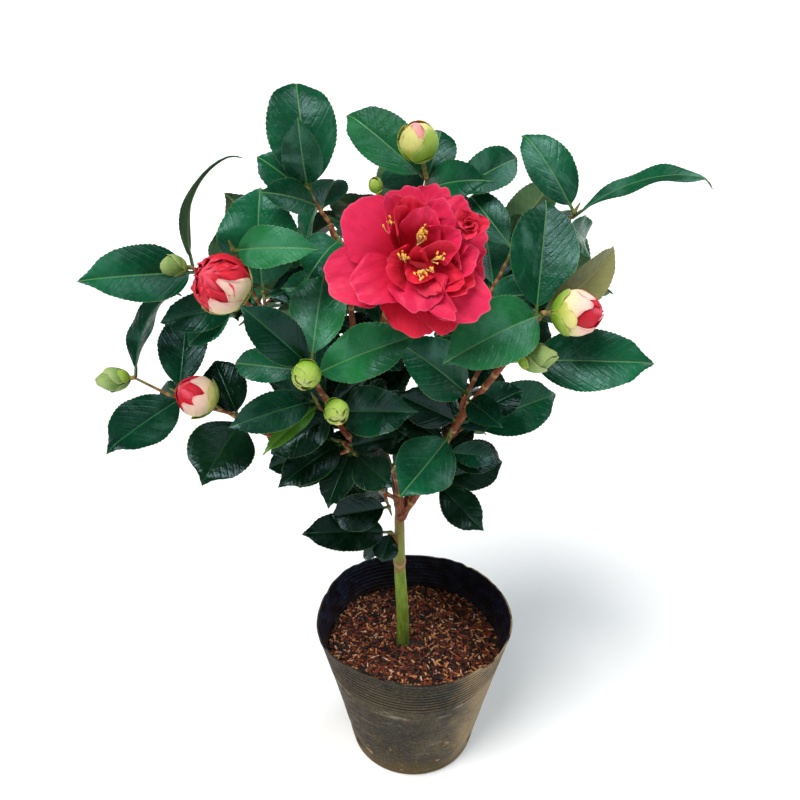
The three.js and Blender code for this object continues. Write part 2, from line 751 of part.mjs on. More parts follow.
function potRadius(z) {
  return mix(POT.baseRadius, POT.rimRadius, z / POT.height);
}

function turnedSolid(profile) {
  const outline = profile.map(([radius, z]) => new THREE.Vector2(radius, z));
  return solidOf(reshaped(new THREE.LatheGeometry(outline, POT.sides), potShape));
}

function potSolid() {
  const levels = POT_LEVELS.map((share) => share * POT.height);
  const outside = levels.map((z) => [potRadius(z), z]);
  const inside = levels.slice(1).reverse().map((z) => [potRadius(z) - POT.wall, z]);
  const floor = [potRadius(POT.floor) - POT.wall, POT.floor];
  let pot = turnedSolid([[0, 0], ...outside, ...inside, floor, [0, POT.floor]]);
  for (let k = 0; k < POT.holes; k += 1) {
    const turn = rad(POT.firstHole + 360 * k / POT.holes);
    const drill = new THREE.CylinderGeometry(POT.holeRadius, POT.holeRadius, POT.drill, POT.holeSides);
    drill.rotateZ(Math.PI / 2);
    drill.translate(potRadius(POT.holeHeight), 0, POT.holeHeight);
    drill.rotateZ(turn);
    pot = pot.subtract(solidOf(drill));
  }
  return pot;
}

function soilSolid() {
  const edge = (z) => potRadius(z) - POT.wall - SOIL.room;
  const foot = POT.floor + GAP;
  const waist = POT_LEVELS[1] * POT.height;
  const shoulder = SOIL.top - SOIL.mound;
  return turnedSolid([
    [0, foot], [edge(foot), foot], [edge(waist), waist], [edge(shoulder), shoulder],
    [edge(shoulder) * SOIL.crown, SOIL.top], [0, SOIL.top],
  ]);
}

// ------------------------------------------------------------------ assembly

const shrub = new THREE.Group();

function addNode(name, solid, material) {
  const mesh = new THREE.Mesh(geometryOf(solid), material);
  mesh.name = name;
  shrub.add(mesh);
}

addNode('pot', potSolid(), FINISH.pot);
addNode('soil', soilSolid(), FINISH.soil);

const cutters = [];
Object.keys(LIMBS).forEach((name) => {
  addNode(name, clearOf(limb(name), cutters), name === 'trunk' ? FINISH.trunk : FINISH.bough);
  cutters.push(limb(name, GAP));
  takeRod(routeOf(LIMBS[name].route.map(point)), ...LIMBS[name].radii, name);
});

const plans = Object.keys(MASSES).map(planMass);
const placed = new Map(plans.map((plan) => [plan.name, []]));
plans.forEach((plan) => plan.wishes.forEach((wish) => {
  const leaf = placeLeaf(wish);
  if (leaf) placed.get(plan.name).push(leaf);
}));
plans.forEach((plan) => {
  const mass = clearOf(massSolid(plan, placed.get(plan.name)), cutters);
  addNode(plan.name, mass, FINISH.leaf);
});
addNode('bloom_on_twig', clearOf(bloomSolid(), cutters), FINISH.bloom);

export default shrub;
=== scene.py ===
# %% [markdown]
# # A young camellia in a nursery pot
#
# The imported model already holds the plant's real sizes: pot, soil, trunk, boughs and
# masses of foliage as plain solids. This notebook dresses it. Each cell makes one
# piece of the plant in the same frame, in metres, with the origin under the pot and
# +Z up. The plant is grown here by the same rule that made the solids, so every leaf
# lands where its solid is, and then gets the detail that a solid leaves out.

# %% Load the frame
import math
import bpy
import numpy as np
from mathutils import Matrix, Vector, noise


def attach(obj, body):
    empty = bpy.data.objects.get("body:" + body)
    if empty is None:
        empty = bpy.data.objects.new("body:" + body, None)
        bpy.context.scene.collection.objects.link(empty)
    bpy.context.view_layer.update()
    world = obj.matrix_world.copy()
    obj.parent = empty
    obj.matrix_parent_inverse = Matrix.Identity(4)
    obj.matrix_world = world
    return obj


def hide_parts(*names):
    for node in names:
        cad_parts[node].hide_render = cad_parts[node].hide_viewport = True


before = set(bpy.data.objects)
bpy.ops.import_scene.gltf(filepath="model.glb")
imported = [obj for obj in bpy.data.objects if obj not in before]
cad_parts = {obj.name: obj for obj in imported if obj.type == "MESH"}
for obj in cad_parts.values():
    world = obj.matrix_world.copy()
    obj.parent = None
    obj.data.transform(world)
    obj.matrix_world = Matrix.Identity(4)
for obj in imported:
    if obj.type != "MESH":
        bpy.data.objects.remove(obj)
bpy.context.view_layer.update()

MM = 0.001
print("nodes:", len(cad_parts))

# %% [markdown]
# ## The viewer
#
# A pot plant is looked at from above: the eye is over the rim and in front of the
# bloom. Perspective matters, because near leaves look larger than far ones. A lens
# near that of the eye, set close, foreshortens rightly. A long lens set further off
# would flatten the crown.

# %% Set the camera
EYE = Vector((-0.0127, -0.6822, 0.8426))
LOOK_DOWN = math.radians(33.0)


def put_in_scene(name, data):
    thing = bpy.data.objects.new(name, data)
    bpy.context.collection.objects.link(thing)
    return thing


eye = put_in_scene("eye", bpy.data.cameras.new("eye"))
eye.data.lens = 45.0
eye.data.sensor_width = 36.0
eye.location = EYE
eye.rotation_euler = (math.radians(90.0) - LOOK_DOWN, 0.0, 0.0)
bpy.context.scene.camera = eye
print("eye", [round(v, 4) for v in EYE], "looks down", round(math.degrees(LOOK_DOWN), 1), "degrees")

# %% [markdown]
# ## Floor and daylight
#
# Glossy leaves show the light as much as their own colour. A bright world all round
# would lay a grey veil on every leaf, so the world is kept low and slightly blue, and
# most of the light comes from broad suns, as from large windows. They light the
# floor evenly too. The key stands high on the left in front. A weaker one behind on
# the right rims the pot and the edges of the leaves, and a faint one in front keeps
# the shadows open.

# %% Make the floor and the suns
FLOOR_SIZE, FLOOR_STEPS = 30.0, 4


def grid_faces(grid):
    """The four-cornered faces between the rows and columns of a grid of place numbers."""
    return np.stack([grid[:-1, :-1], grid[:-1, 1:], grid[1:, 1:], grid[1:, :-1]], -1)


def pale_floor():
    ticks = np.linspace(-FLOOR_SIZE / 2, FLOOR_SIZE / 2, FLOOR_STEPS + 1)
    spots = [(x, y, 0.0) for y in ticks for x in ticks]
    grid = np.arange(len(spots)).reshape(FLOOR_STEPS + 1, FLOOR_STEPS + 1)
    mesh = bpy.data.meshes.new("floor")
    mesh.from_pydata(spots, [], grid_faces(grid).reshape(-1, 4).tolist())
    floor = put_in_scene("floor", mesh)
    paper = bpy.data.materials.new("pale_floor")
    paper.use_nodes = True
    shader = paper.node_tree.nodes["Principled BSDF"]
    shader.inputs["Base Color"].default_value = (0.95, 0.95, 0.95, 1.0)
    shader.inputs["Roughness"].default_value = 0.95
    shader.inputs["Specular IOR Level"].default_value = 0.1
    mesh.materials.append(paper)


def broad_sun(name, stands, wide, power, colour):
    """A sun that shines from where it stands, seen from the plant, and is wide degrees across."""
    sun = put_in_scene(name, bpy.data.lights.new(name, "SUN"))
    sun.data.angle = math.radians(wide)
    sun.data.energy = power
    sun.data.color = colour
    sun.rotation_euler = (-Vector(stands)).to_track_quat("-Z", "Y").to_euler()


pale_floor()
broad_sun("key", (-0.36, -0.3, 1.0), 34.0, 3.5, (1.0, 0.985, 0.96))
broad_sun("rim", (0.9, 0.5, 1.0), 40.0, 1.6, (0.88, 0.95, 1.0))
broad_sun("fill", (0.4, -0.9, 0.8), 60.0, 0.3, (1.0, 0.98, 0.95))
sky = bpy.data.worlds.new("sky")
sky.use_nodes = True
sky.node_tree.nodes["Background"].inputs["Color"].default_value = (0.8, 0.91, 1.0, 1.0)
sky.node_tree.nodes["Background"].inputs["Strength"].default_value = 0.15
bpy.context.scene.world = sky
bpy.context.scene.view_settings.view_transform = "Standard"
print("floor, three suns and a low sky are set")

# %% [markdown]
# ## The growing rule
#
# A real shrub grows by a few habits: boughs taper, twigs sag a little, and leaves
# leave the twig on a spiral, each turned 137.5 degrees from the last. The solids were
# grown by such a rule, and the same rule is written again here, in millimetres.
# Chance comes from one small generator with a fixed seed for each mass, so that the
# plant is the same plant every time.

# %% Chance, headings and curves
SPIRAL = 137.5
# Every run of chance starts from one of these numbers, plus its place in its order.
SEEDS = {
    "growth": 101, "small leaves": 907, "leaves": 700, "trunk": 4, "boughs": 21, "twigs": 300,
    "end buds": 500, "stalks": 900, "buds": 90, "petals": 400, "whorl": 460, "stamens": 77,
    "sepals": 480, "stem": 495, "splinters": 51,
}
GROWTH_STEP, SMALL_STEP = 37, 13


def chance(seed):
    state = seed
    while True:
        state = (state * 16807) % 2147483647
        yield state / 2147483647


def dice_for(run, order=0):
    return np.random.default_rng(SEEDS[run] + order)


def heading(bearing, rise):
    b, r = math.radians(bearing), math.radians(rise)
    return np.array([math.cos(r) * math.cos(b), math.cos(r) * math.sin(b), math.sin(r)])


def unit(vector):
    return vector / np.linalg.norm(vector)


def smooth(low, high, value):
    """0 below low, 1 above high, and an easy curve between them."""
    share = np.clip((value - low) / (high - low), 0.0, 1.0)
    return share * share * (3.0 - 2.0 * share)


def along_route(points, shares):
    """Places on the smooth curve through the points, at shares of it from 0 to 1."""
    stops = np.asarray(points, float)
    stops = np.vstack([2 * stops[0] - stops[1], stops, 2 * stops[-1] - stops[-2]])
    spans = len(stops) - 3
    at = np.atleast_1d(shares) * spans
    first = np.minimum(at.astype(int), spans - 1)
    t = (at - first)[:, None]
    before, start, end, after = (stops[first + k] for k in range(4))
    leave, arrive = (end - before) / 2, (after - start) / 2
    rest = 2 * start - 2 * end + leave + arrive
    bend = -3 * start + 3 * end - 2 * leave - arrive
    return start + leave * t + bend * t ** 2 + rest * t ** 3


def turned(vector, axis, degrees):
    a = math.radians(degrees)
    kept = axis * np.dot(axis, vector) * (1 - math.cos(a))
    return vector * math.cos(a) + np.cross(axis, vector) * math.sin(a) + kept


print("first chances:", [round(value, 4) for value, _ in zip(chance(SEEDS["growth"]), range(3))])

# %% [markdown]
# ## Boughs and shoots
#
# The tables below are the plant's habit. A limb has the radii of its two ends and the
# places it passes through. A mass hangs on one bough, faces one way and has shoots.
# A shoot has its tip, its set leaves (bearing, rise, length, and if need be width,
# arch and roll), its buds (bearing, rise, stalk, length, radius), and how many more
# leaves follow the spiral, from which turn on.

# %% The plant's habit
GROUND = 122.3


def limb(foot, tip, *route):
    return {"route": route, "radii": (foot, tip)}


def mass(bough, face, *shoots):
    return {"bough": bough, "face": face, "shoots": shoots}


def shoot(tip, *leaves, buds=(), more=0, turn=0):
    return {"tip": tip, "leaves": leaves, "buds": buds, "more": more, "turn": turn}


LIMBS = {
    "trunk": limb(6.2, 4.2, (-10, 0, GROUND), (-10.5, 0, 165), (-13, 0, 222), (-13, 1, 296)),
    "right_bough": limb(3.6, 2.2, (-13, 0, 276), (4, -5, 311), (26, -15, 371), (46, -25, 416),
        (84, -43, 490)),
    "right_low_spur": limb(1.9, 1.6, (40, -21, 402), (39, -32, 414)),
    "right_rear_spur": limb(1.9, 1.6, (25, -14, 368), (34, -5, 371)),
    "right_side_spur": limb(1.9, 1.6, (70, -36, 465), (80, -41, 468)),
    "top_right_bough": limb(2.3, 1.7, (62, -33, 448), (84, 8, 488), (108, 34, 526)),
    "left_bough": limb(3.4, 2.1, (-13, -2, 290), (-17, -6, 330), (-41, -15, 361), (-57, -25, 386),
        (-76, -54, 452)),
    "left_low_spur": limb(1.8, 1.5, (-44, -16, 364), (-56, -22, 372)),
    "left_side_spur": limb(1.8, 1.5, (-62, -31, 400), (-70, -42, 414)),
    "upper_left_bough": limb(2.4, 1.8, (-60, -28, 396), (-88, -20, 440), (-112, -14, 482)),
    "far_left_bough": limb(2.3, 1.7, (-46, -18, 366), (-75, -8, 352), (-124, 0, 366), (-150, -4, 388)),
    "outer_left_bough": limb(1.9, 1.6, (-100, -18, 460), (-128, -6, 490), (-150, -2, 505)),
    "leader": limb(3.3, 2.0, (-13, 3, 290), (-26, 10, 340), (-46, 12, 400), (-52, 11, 490),
        (-64, 10, 546)),
    "top_bough": limb(2.5, 1.9, (-44, 12, 396), (-26, 26, 460), (-6, 34, 520), (4, 31, 556)),
    "bloom_bough": limb(2.2, 1.9, (-36, 18, 420), (-24, -8, 465), (-22, -34, 508)),
    "middle_right_bough": limb(2.0, 1.7, (-12, 26, 500), (20, 22, 490), (50, 8, 488)),
    "inner_left_bough": limb(2.1, 1.7, (-45, 12, 398), (-68, 38, 432), (-82, 52, 462)),
    "inner_right_bough": limb(2.1, 1.7, (22, -12, 362), (46, 18, 402), (70, 40, 438)),
    "trunk_spur": limb(1.9, 1.6, (-15, -2, 246), (-19, -6, 262)),
    "fork_spur": limb(1.9, 1.6, (-15, -4, 300), (-24, -12, 312)),
    "front_spur": limb(1.9, 1.6, (6, -6, 315), (16, -16, 326)),
    "back_right_bough": limb(3.0, 1.9, (-12, 3, 280), (14, 34, 330), (52, 84, 410), (70, 108, 456)),
    "back_left_bough": limb(2.9, 1.9, (-13, 5, 300), (-40, 42, 346), (-84, 82, 400), (-112, 100, 450)),
    "back_bough": limb(2.6, 1.8, (-10, 28, 328), (-16, 70, 390), (-18, 108, 470)),
}
MASSES = {
    "foliage_top_left": mass("leader", 265,
        shoot((-80, 10, 577), (247, 80, 56, 30), (104, 58, 92, 52, 80), (176, 46, 54, 32, 45),
              (222, 26, 56, 26, 45), (80, 8, 50, 30), (42, -24, 70, 26, 60, 50)),
        shoot((-57, 3, 538), (240, -18, 52, 36, 80))),
    "foliage_upper_left": mass("upper_left_bough", 268,
        shoot((-117, 2, 497), (89, 70, 84, 62, 62), (20, 10, 58, 30)),
        shoot((-133, -20, 542), (328, -11, 72, 32, 60))),
    "foliage_left": mass("outer_left_bough", 262,
        shoot((-169, 0, 518), (35, 58, 106, 30, 95, -80), (200, 12, 93, 46, 20),
              buds=[(212, 16, 5, 29, 10)]),
        shoot((-128, -27, 509), buds=[(228, 42, 5, 40, 20)]),
        shoot((-136, 2, 485), (200, -4, 62, 32), (215, -36, 50, 28))),
    "foliage_far_left": mass("far_left_bough", 265,
        shoot((-226, 0, 421), (62, 36, 90, 40, 75, -34), buds=[(184, -4, 4, 29, 10)]),
        shoot((-192, -2, 408), (88, 36, 78, 42), (236, -3, 85, 44, 20), (145, -8, 38, 22)),
        shoot((-161, -12, 403), buds=[(210, 42, 4, 34, 17)]),
        shoot((-139, -8, 387), (250, -12, 74, 54, 26), (120, 34, 56, 38))),
    "foliage_centre_left": mass("left_bough", 268,
        shoot((-77, -60, 472), (80, 44, 78, 44, 20), (192, 50, 74, 34), (165, -2, 64, 26),
              (345, 30, 92, 42, 34), (30, 2, 66, 30), buds=[(262, -8, 6, 22, 11)]),
        shoot((-62, -62, 436), buds=[(285, 5, 3, 20, 10)])),
    "foliage_lower_left": mass("left_side_spur", 262,
        shoot((-77, -46, 430), (222, 14, 84, 30, 50), (234, -8, 66, 15, 34)),
        shoot((-58, -44, 418), (330, 18, 72, 40), (205, -24, 60, 34))),
    "foliage_low_left": mass("left_low_spur", 262,
        shoot((-62, -22, 374), (148, -14, 60, 32), (178, -34, 62, 32), (228, -4, 72, 34)),
        shoot((-48, -34, 370), (300, 6, 60, 34), (250, -24, 52, 30))),
    "foliage_fork": mass("fork_spur", 262,
        shoot((-30, -12, 322), (155, -12, 62, 40), (199, 43, 40, 24)),
        shoot((-22, -18, 302), (195, 8, 52, 34, 40), (100, -20, 48, 28))),
    "foliage_trunk": mass("trunk_spur", 262,
        shoot((-22, -8, 266), (201, 24, 84, 36, 50), (240, -50, 28, 24), (180, -52, 44, 12, 50))),
    "foliage_front": mass("front_spur", 272,
        shoot((20, -20, 334), (24, 0, 62, 34), (312, -18, 58, 32), (352, -22, 34, 15)),
        shoot((27, -30, 386), (238, -8, 76, 50, 26))),
    "foliage_right": mass("right_bough", 275,
        shoot((90, -46, 504), (212, -10, 94, 48, 60), buds=[(345, 8, 8, 36, 17)]),
        shoot((88, -26, 490), (80, 52, 92, 54, 20), (28, 34, 84, 34, 44, 30))),
    "foliage_right_side": mass("right_side_spur", 280,
        shoot((80, -34, 458), (350, 4, 98, 50, 20), (75, -4, 62, 34)),
        shoot((69, -64, 475), buds=[(350, 12, 4, 30, 10.5)])),
    "foliage_right_low": mass("right_low_spur", 275,
        shoot((40, -39, 430), (192, 44, 80, 46), (300, 2, 46, 26))),
    "foliage_right_rear": mass("right_rear_spur", 275,
        shoot((42, -2, 376), (14, 14, 84, 46, 24), (40, 2, 80, 40), (100, 20, 64, 36))),
    "foliage_top_right": mass("top_right_bough", 275,
        shoot((121, 38, 547), (132, 40, 78, 40, 40), (2, 14, 120, 30, 66, -42), (60, -38, 60, 34),
              (88, -14, 66, 34))),
    "foliage_top": mass("top_bough", 270,
        shoot((7, 30, 576), (150, 30, 82, 44, 25), (70, 42, 50, 32), (318, 22, 70, 32, 62),
              (112, 4, 64, 38), buds=[(228, 72, 18, 31, 14.5)]),
        shoot((25, 32, 562), (28, 18, 66, 34, 40), (80, 4, 62, 34)),
        shoot((-28, 22, 566), (165, -14, 52, 30), buds=[(200, 70, 3, 13, 6)])),
    "foliage_middle_right": mass("middle_right_bough", 275,
        shoot((60, 8, 496), (92, 12, 74, 42), (66, 2, 76, 40), (340, 14, 60, 34)),
        shoot((72, 8, 530), (127, 27, 62, 30), (30, 10, 60, 32))),
    "foliage_inner_left": mass("inner_left_bough", 200,
        shoot((-92, 56, 492), more=4, turn=60),
        shoot((-60, 62, 458), more=3, turn=40)),
    "foliage_inner_right": mass("inner_right_bough", 320,
        shoot((90, 38, 470), more=4, turn=15),
        shoot((44, 54, 446), more=3, turn=120)),
    "foliage_back_right": mass("back_right_bough", 60,
        shoot((78, 126, 474), more=6, turn=20),
        shoot((116, 92, 428), more=4, turn=60),
        shoot((46, 122, 428), more=3, turn=80)),
    "foliage_back_left": mass("back_left_bough", 130,
        shoot((-116, 116, 470), more=6, turn=20),
        shoot((-148, 90, 424), more=4, turn=120),
        shoot((-88, 116, 408), more=3, turn=90)),
    "foliage_back": mass("back_bough", 90,
        shoot((-20, 120, 498), more=6, turn=80),
        shoot((-14, 142, 450), more=4, turn=60)),
}
print(len(LIMBS), "limbs and", len(MASSES), "masses of foliage")

# %% [markdown]
# ## What a leaf is
#
# A camellia leaf is a stiff blade, folded a little along its midrib and bent over
# backwards towards its tip. It is described by its root, the way it heads, the way
# its face looks, and by its arch, twist and fold. Any place on it is then a share of
# its length and a place across. Petals are laid along the same arched line, so one
# function serves both.

# %% Blades
PETIOLE, PETIOLE_WIDTH, TIP_WIDTH = 0.09, 2.6, 1.4
ARCH_POWER, SLICES = 1.4, 20
UPWARD_LOOK = 0.78, np.array([0, 0, 0.62])


def blade_frame(root, bearing, rise, face, roll):
    ahead = heading(bearing, rise)
    look = UPWARD_LOOK[0] * heading(face, 0) + UPWARD_LOOK[1]
    up = turned(unit(look - ahead * np.dot(look, ahead)), ahead, roll)
    return {"root": root, "ahead": ahead, "up": up, "side": np.cross(ahead, up)}


def blade_run(arch, length, shares):
    """How far along and above a blade has got at each share, and its slope there."""
    def slope(at):
        return math.radians(arch) * (1 / (ARCH_POWER + 1) - at ** ARCH_POWER)
    at = shares[:, None] * (np.arange(SLICES) + 0.5) / SLICES
    reach = shares * length
    return np.cos(slope(at)).mean(1) * reach, np.sin(slope(at)).mean(1) * reach, slope(shares)


def belly_share(shares):
    """How far along the blade proper, past its stalk, each share is."""
    return np.clip((shares - PETIOLE) / (1 - PETIOLE), 0, 1)


def leaf_half_width(width, shares):
    along = belly_share(shares)
    full = np.maximum(np.sin(np.pi * along ** 0.92), 0) ** 0.72
    half = np.maximum(0.5 * width * full * (1 - 0.4 * smooth(0.8, 1, along)), TIP_WIDTH / 2)
    return np.where(shares <= PETIOLE, PETIOLE_WIDTH / 2, half)


def blade_places(blade, shares, reach, lift):
    """Places on a blade: reach and lift are in millimetres, one row for each share."""
    run = blade_run(blade["arch"], blade["length"], shares)
    along, above, slope = (value[:, None] for value in run)
    twist = np.radians(blade["twist"]) * shares[:, None]
    normal = blade["up"] * np.cos(slope) - blade["ahead"] * np.sin(slope)
    side = blade["side"] * np.cos(twist) + normal * np.sin(twist)
    face = normal * np.cos(twist) - blade["side"] * np.sin(twist)
    fold = math.radians(blade["fold"])
    spine = blade["root"] + blade["ahead"] * along + blade["up"] * above
    out = reach[:, :, None] * math.cos(fold)
    high = (np.abs(reach) * math.sin(fold) + lift)[:, :, None]
    return spine[:, None] + side[:, None] * out + face[:, None] * high


flat = {**blade_frame(np.zeros(3), 0, 0, 270, 0), "length": 80, "arch": 30, "twist": 0, "fold": 14}
flat_tip = blade_places(flat, np.array([1.0]), np.zeros((1, 1)), np.zeros((1, 1)))[0, 0]
print("a leaf of 80 mm ends at", flat_tip.round(1))

# %% [markdown]
# ## Room for each leaf
#
# Leaves on a living plant shade each other out of the same place. The rule tries a
# leaf at its own heading and then at ever wider turns round it, and leaves it out if
# it would touch a limb, a bud, the bloom or another leaf. A grid of probes on each
# leaf stands for it, which is far quicker than testing meshes.

# %% What has its place already
GAP, TWIG_FOOT, TWIG_TIP, TWIG_SAG = 0.3, 1.9, 1.2, 0.06
LEAF_SPACING, OWN_FROM, ROD_STEP = 4.5, 0.3, 4
ROOM = {"leaf": 5.0, "limb": 2.2, "bud": 2.0}
RINGS, WAYS = (0, 5, 10, 16, 24), 6
PROBE_SHARES, PROBE_ACROSS = np.linspace(0.14, 1, 13), np.linspace(-1, 1, 7)
PROBE_ALONG = np.repeat(PROBE_SHARES, len(PROBE_ACROSS))
CROWN_CENTRE, CROWN_REACH, CROWN_FLOOR = np.array([-15, 20, 430]), np.array([292, 205, 262]), 205
BLOOM_CENTRE, BLOOM_AHEAD = np.array([-6.0, -95.0, 568.0]), heading(270, 32)
BLOOM_SPACE, BLOOM_DEPTH, BLOOM_BEHIND = 52, 34, 24
# Each row of taken: place, radius, number of its owner, share along the owner.
taken = {kind: np.empty((0, 6)) for kind in ROOM}
names = [*LIMBS, *MASSES]


def take(kind, places, radii, owner, shares):
    facts = [np.broadcast_to(value, len(places)) for value in (radii, names.index(owner), shares)]
    taken[kind] = np.vstack([taken[kind], np.column_stack([places, *facts])])


def take_rod(points, foot, tip, owner):
    ends = along_route(points, [0.0, 1.0])
    shares = np.linspace(0, 1, math.ceil(np.linalg.norm(ends[1] - ends[0]) / ROD_STEP) + 1)
    take("limb", along_route(points, shares), foot + (tip - foot) * shares, owner, shares)


def in_the_crown(probes):
    """Whether all the probes are in the crown's space, and none in the bloom's."""
    inside = (((probes - CROWN_CENTRE) / CROWN_REACH) ** 2).sum(1)
    off = probes - BLOOM_CENTRE
    deep = off @ BLOOM_AHEAD
    wide = np.sqrt(np.maximum((off ** 2).sum(1) - deep ** 2, 0))
    bloom = (wide / BLOOM_SPACE) ** 2 + (deep / BLOOM_DEPTH) ** 2
    return (inside < 1).all() and (probes[:, 2] > CROWN_FLOOR).all() and (bloom >= 1).all()


def has_room(probes, mass, ease):
    if not in_the_crown(probes):
        return False
    family = [names.index(mass), names.index(MASSES[mass]["bough"])]
    for kind, room in ROOM.items():
        others = taken[kind]
        far = room * ease + others[:, 3:4]
        near = (others[:, :3] > probes.min(0) - far) & (others[:, :3] < probes.max(0) + far)
        others = others[near.all(1)]
        if kind == "leaf":
            others = others[(others[:, 4] != family[0]) | (others[:, 5] >= OWN_FROM)]
        own = np.isin(others[:, 4], family)
        apart = ((probes[:, None] - others[None, :, :3]) ** 2).sum(2)
        hit = apart < ((others[:, 3] + room * ease) ** 2)[None]
        if (hit & ~(own[None] & (PROBE_ALONG < OWN_FROM)[:, None])).any():
            return False
    return True


def place_leaf(plan, ease=1.0, rings=RINGS):
    """The planned leaf at the first heading where it has room, or nothing."""
    for ring in rings:
        for way in range(WAYS if ring else 1):
            turn = 2 * math.pi * way / WAYS
            bearing, rise = plan["bearing"] + ring * math.cos(turn), plan["rise"] + ring * math.sin(turn)
            leaf = {**plan, **blade_frame(plan["root"], bearing, rise, plan["face"], plan["roll"])}
            reach = leaf_half_width(leaf["width"], PROBE_SHARES)[:, None] * PROBE_ACROSS
            probes = blade_places(leaf, PROBE_SHARES, reach, np.zeros_like(reach)).reshape(-1, 3)
            if has_room(probes, plan["mass"], ease):
                take("leaf", probes, 0, plan["mass"], PROBE_ALONG)
                return leaf
    return None


print("room kept round a leaf, a limb and a bud in mm:", *ROOM.values())

# %% [markdown]
# ## Grow the twigs, buds and leaves
#
# Twigs and buds take their places first and the leaves after them, mass by mass. A
# leaf without a set width, arch or roll gets one by chance, so that no two are alike.
# Each leaf further down its shoot starts a few millimetres nearer to the bough.

# %% Grow them
def bough_tip(name):
    ends = along_route(LIMBS[name]["route"], [0.9999, 1.0])
    return ends[1], unit(ends[1] - ends[0])


def wished_leaves(mass, shoot, curve, span, draw):
    """The leaves of one shoot as the rule wants them: set ones, then the spiral."""
    leaves = list(shoot["leaves"])
    for k in range(shoot["more"]):
        length = 84 - 3 * k + 10 * (next(draw) - 0.5)
        leaves.append((shoot["turn"] + SPIRAL * k, 52 - 13 * k, length))
    for place, (bearing, rise, length, *shape) in enumerate(leaves):
        width, arch, roll = shape + [None] * (3 - len(shape))
        luck = [next(draw) for _ in range(4)]
        yield {
            "mass": mass, "bearing": bearing, "rise": rise, "face": MASSES[mass]["face"], "length": length,
            "root": along_route(curve, [max(1 - (1 + LEAF_SPACING * place) / span, 0.15)])[0],
            "width": width or length * (0.5 + 0.08 * (luck[0] - 0.5)),
            "arch": arch or 28 + 20 * (luck[1] - 0.5),
            "roll": (roll or 0) + 16 * (luck[2] - 0.5),
            "fold": 14 + 10 * (luck[3] - 0.5),
            "twist": 24 * (luck[1] - 0.5),
        }


def plan_mass(order, mass):
    plan, draw = MASSES[mass], chance(SEEDS["growth"] + GROWTH_STEP * order)
    end, ahead = bough_tip(plan["bough"])
    start = end + GAP * ahead
    heart = start + 3 * ahead
    grown = {"name": mass, "start": start, "heart": heart, "twigs": [], "buds": [], "wishes": []}
    for shoot in plan["shoots"]:
        tip = np.array(shoot["tip"], float)
        sag = np.array([0, 0, -TWIG_SAG * np.linalg.norm(tip - heart)])
        grown["twigs"].append([heart, (heart + tip) / 2 + sag, tip])
        take_rod(grown["twigs"][-1], TWIG_FOOT, TWIG_TIP, mass)
    for shoot, curve in zip(plan["shoots"], grown["twigs"]):
        for bearing, rise, stalk, length, radius in shoot["buds"]:
            way = heading(bearing, rise)
            root = curve[2] + way * stalk
            bud = {"foot": curve[2], "root": root, "ahead": way, "length": length, "radius": radius}
            grown["buds"].append(bud)
            take("bud", (root + way * length * 0.45)[None], radius, mass, 0)
        span = np.linalg.norm(curve[2] - heart)
        grown["wishes"] += wished_leaves(mass, shoot, curve, span, draw)
    return grown


for name, shape in LIMBS.items():
    take_rod(shape["route"], *shape["radii"], name)
growth = [plan_mass(order, name) for order, name in enumerate(MASSES)]
for grown in growth:
    grown["leaves"] = [leaf for leaf in map(place_leaf, grown["wishes"]) if leaf]
print(sum(len(g["leaves"]) for g in growth), "of", sum(len(g["wishes"]) for g in growth), "leaves have room")

# %% [markdown]
# ## From places to a mesh
#
# Thousands of small parts could be separate objects, but a joined mesh is far
# lighter. A gatherer collects places and faces in millimetres, and casts them as one
# mesh in metres at the end. A leaf or petal is a thin closed body: a top sheet and an
# under sheet that share their edge, so light treats it as solid and the two sides
# can have their own finish. The edge is marked sharp, or the shading would smear
# round it. Every face also carries three maps: its place on the part in tenths of a
# metre, its share of the part, and a cell of its own for a bake.

# %% Gather parts and cast them
def stacked(*values):
    """Values brought to one shape and laid side by side as coordinates."""
    return np.stack(np.broadcast_arrays(*values), -1)


def ring_places(wide, turn, high):
    """Places round an upright axis, wide from it, at turns in radians."""
    return stacked(wide * np.cos(turn), wide * np.sin(turn), high)


def tube_faces(grid):
    """A tube's wall and its two ends; the grid's last column is its first once more."""
    return grid_faces(grid).reshape(-1, 4), grid[:1, -2::-1], grid[-1:, :-1]


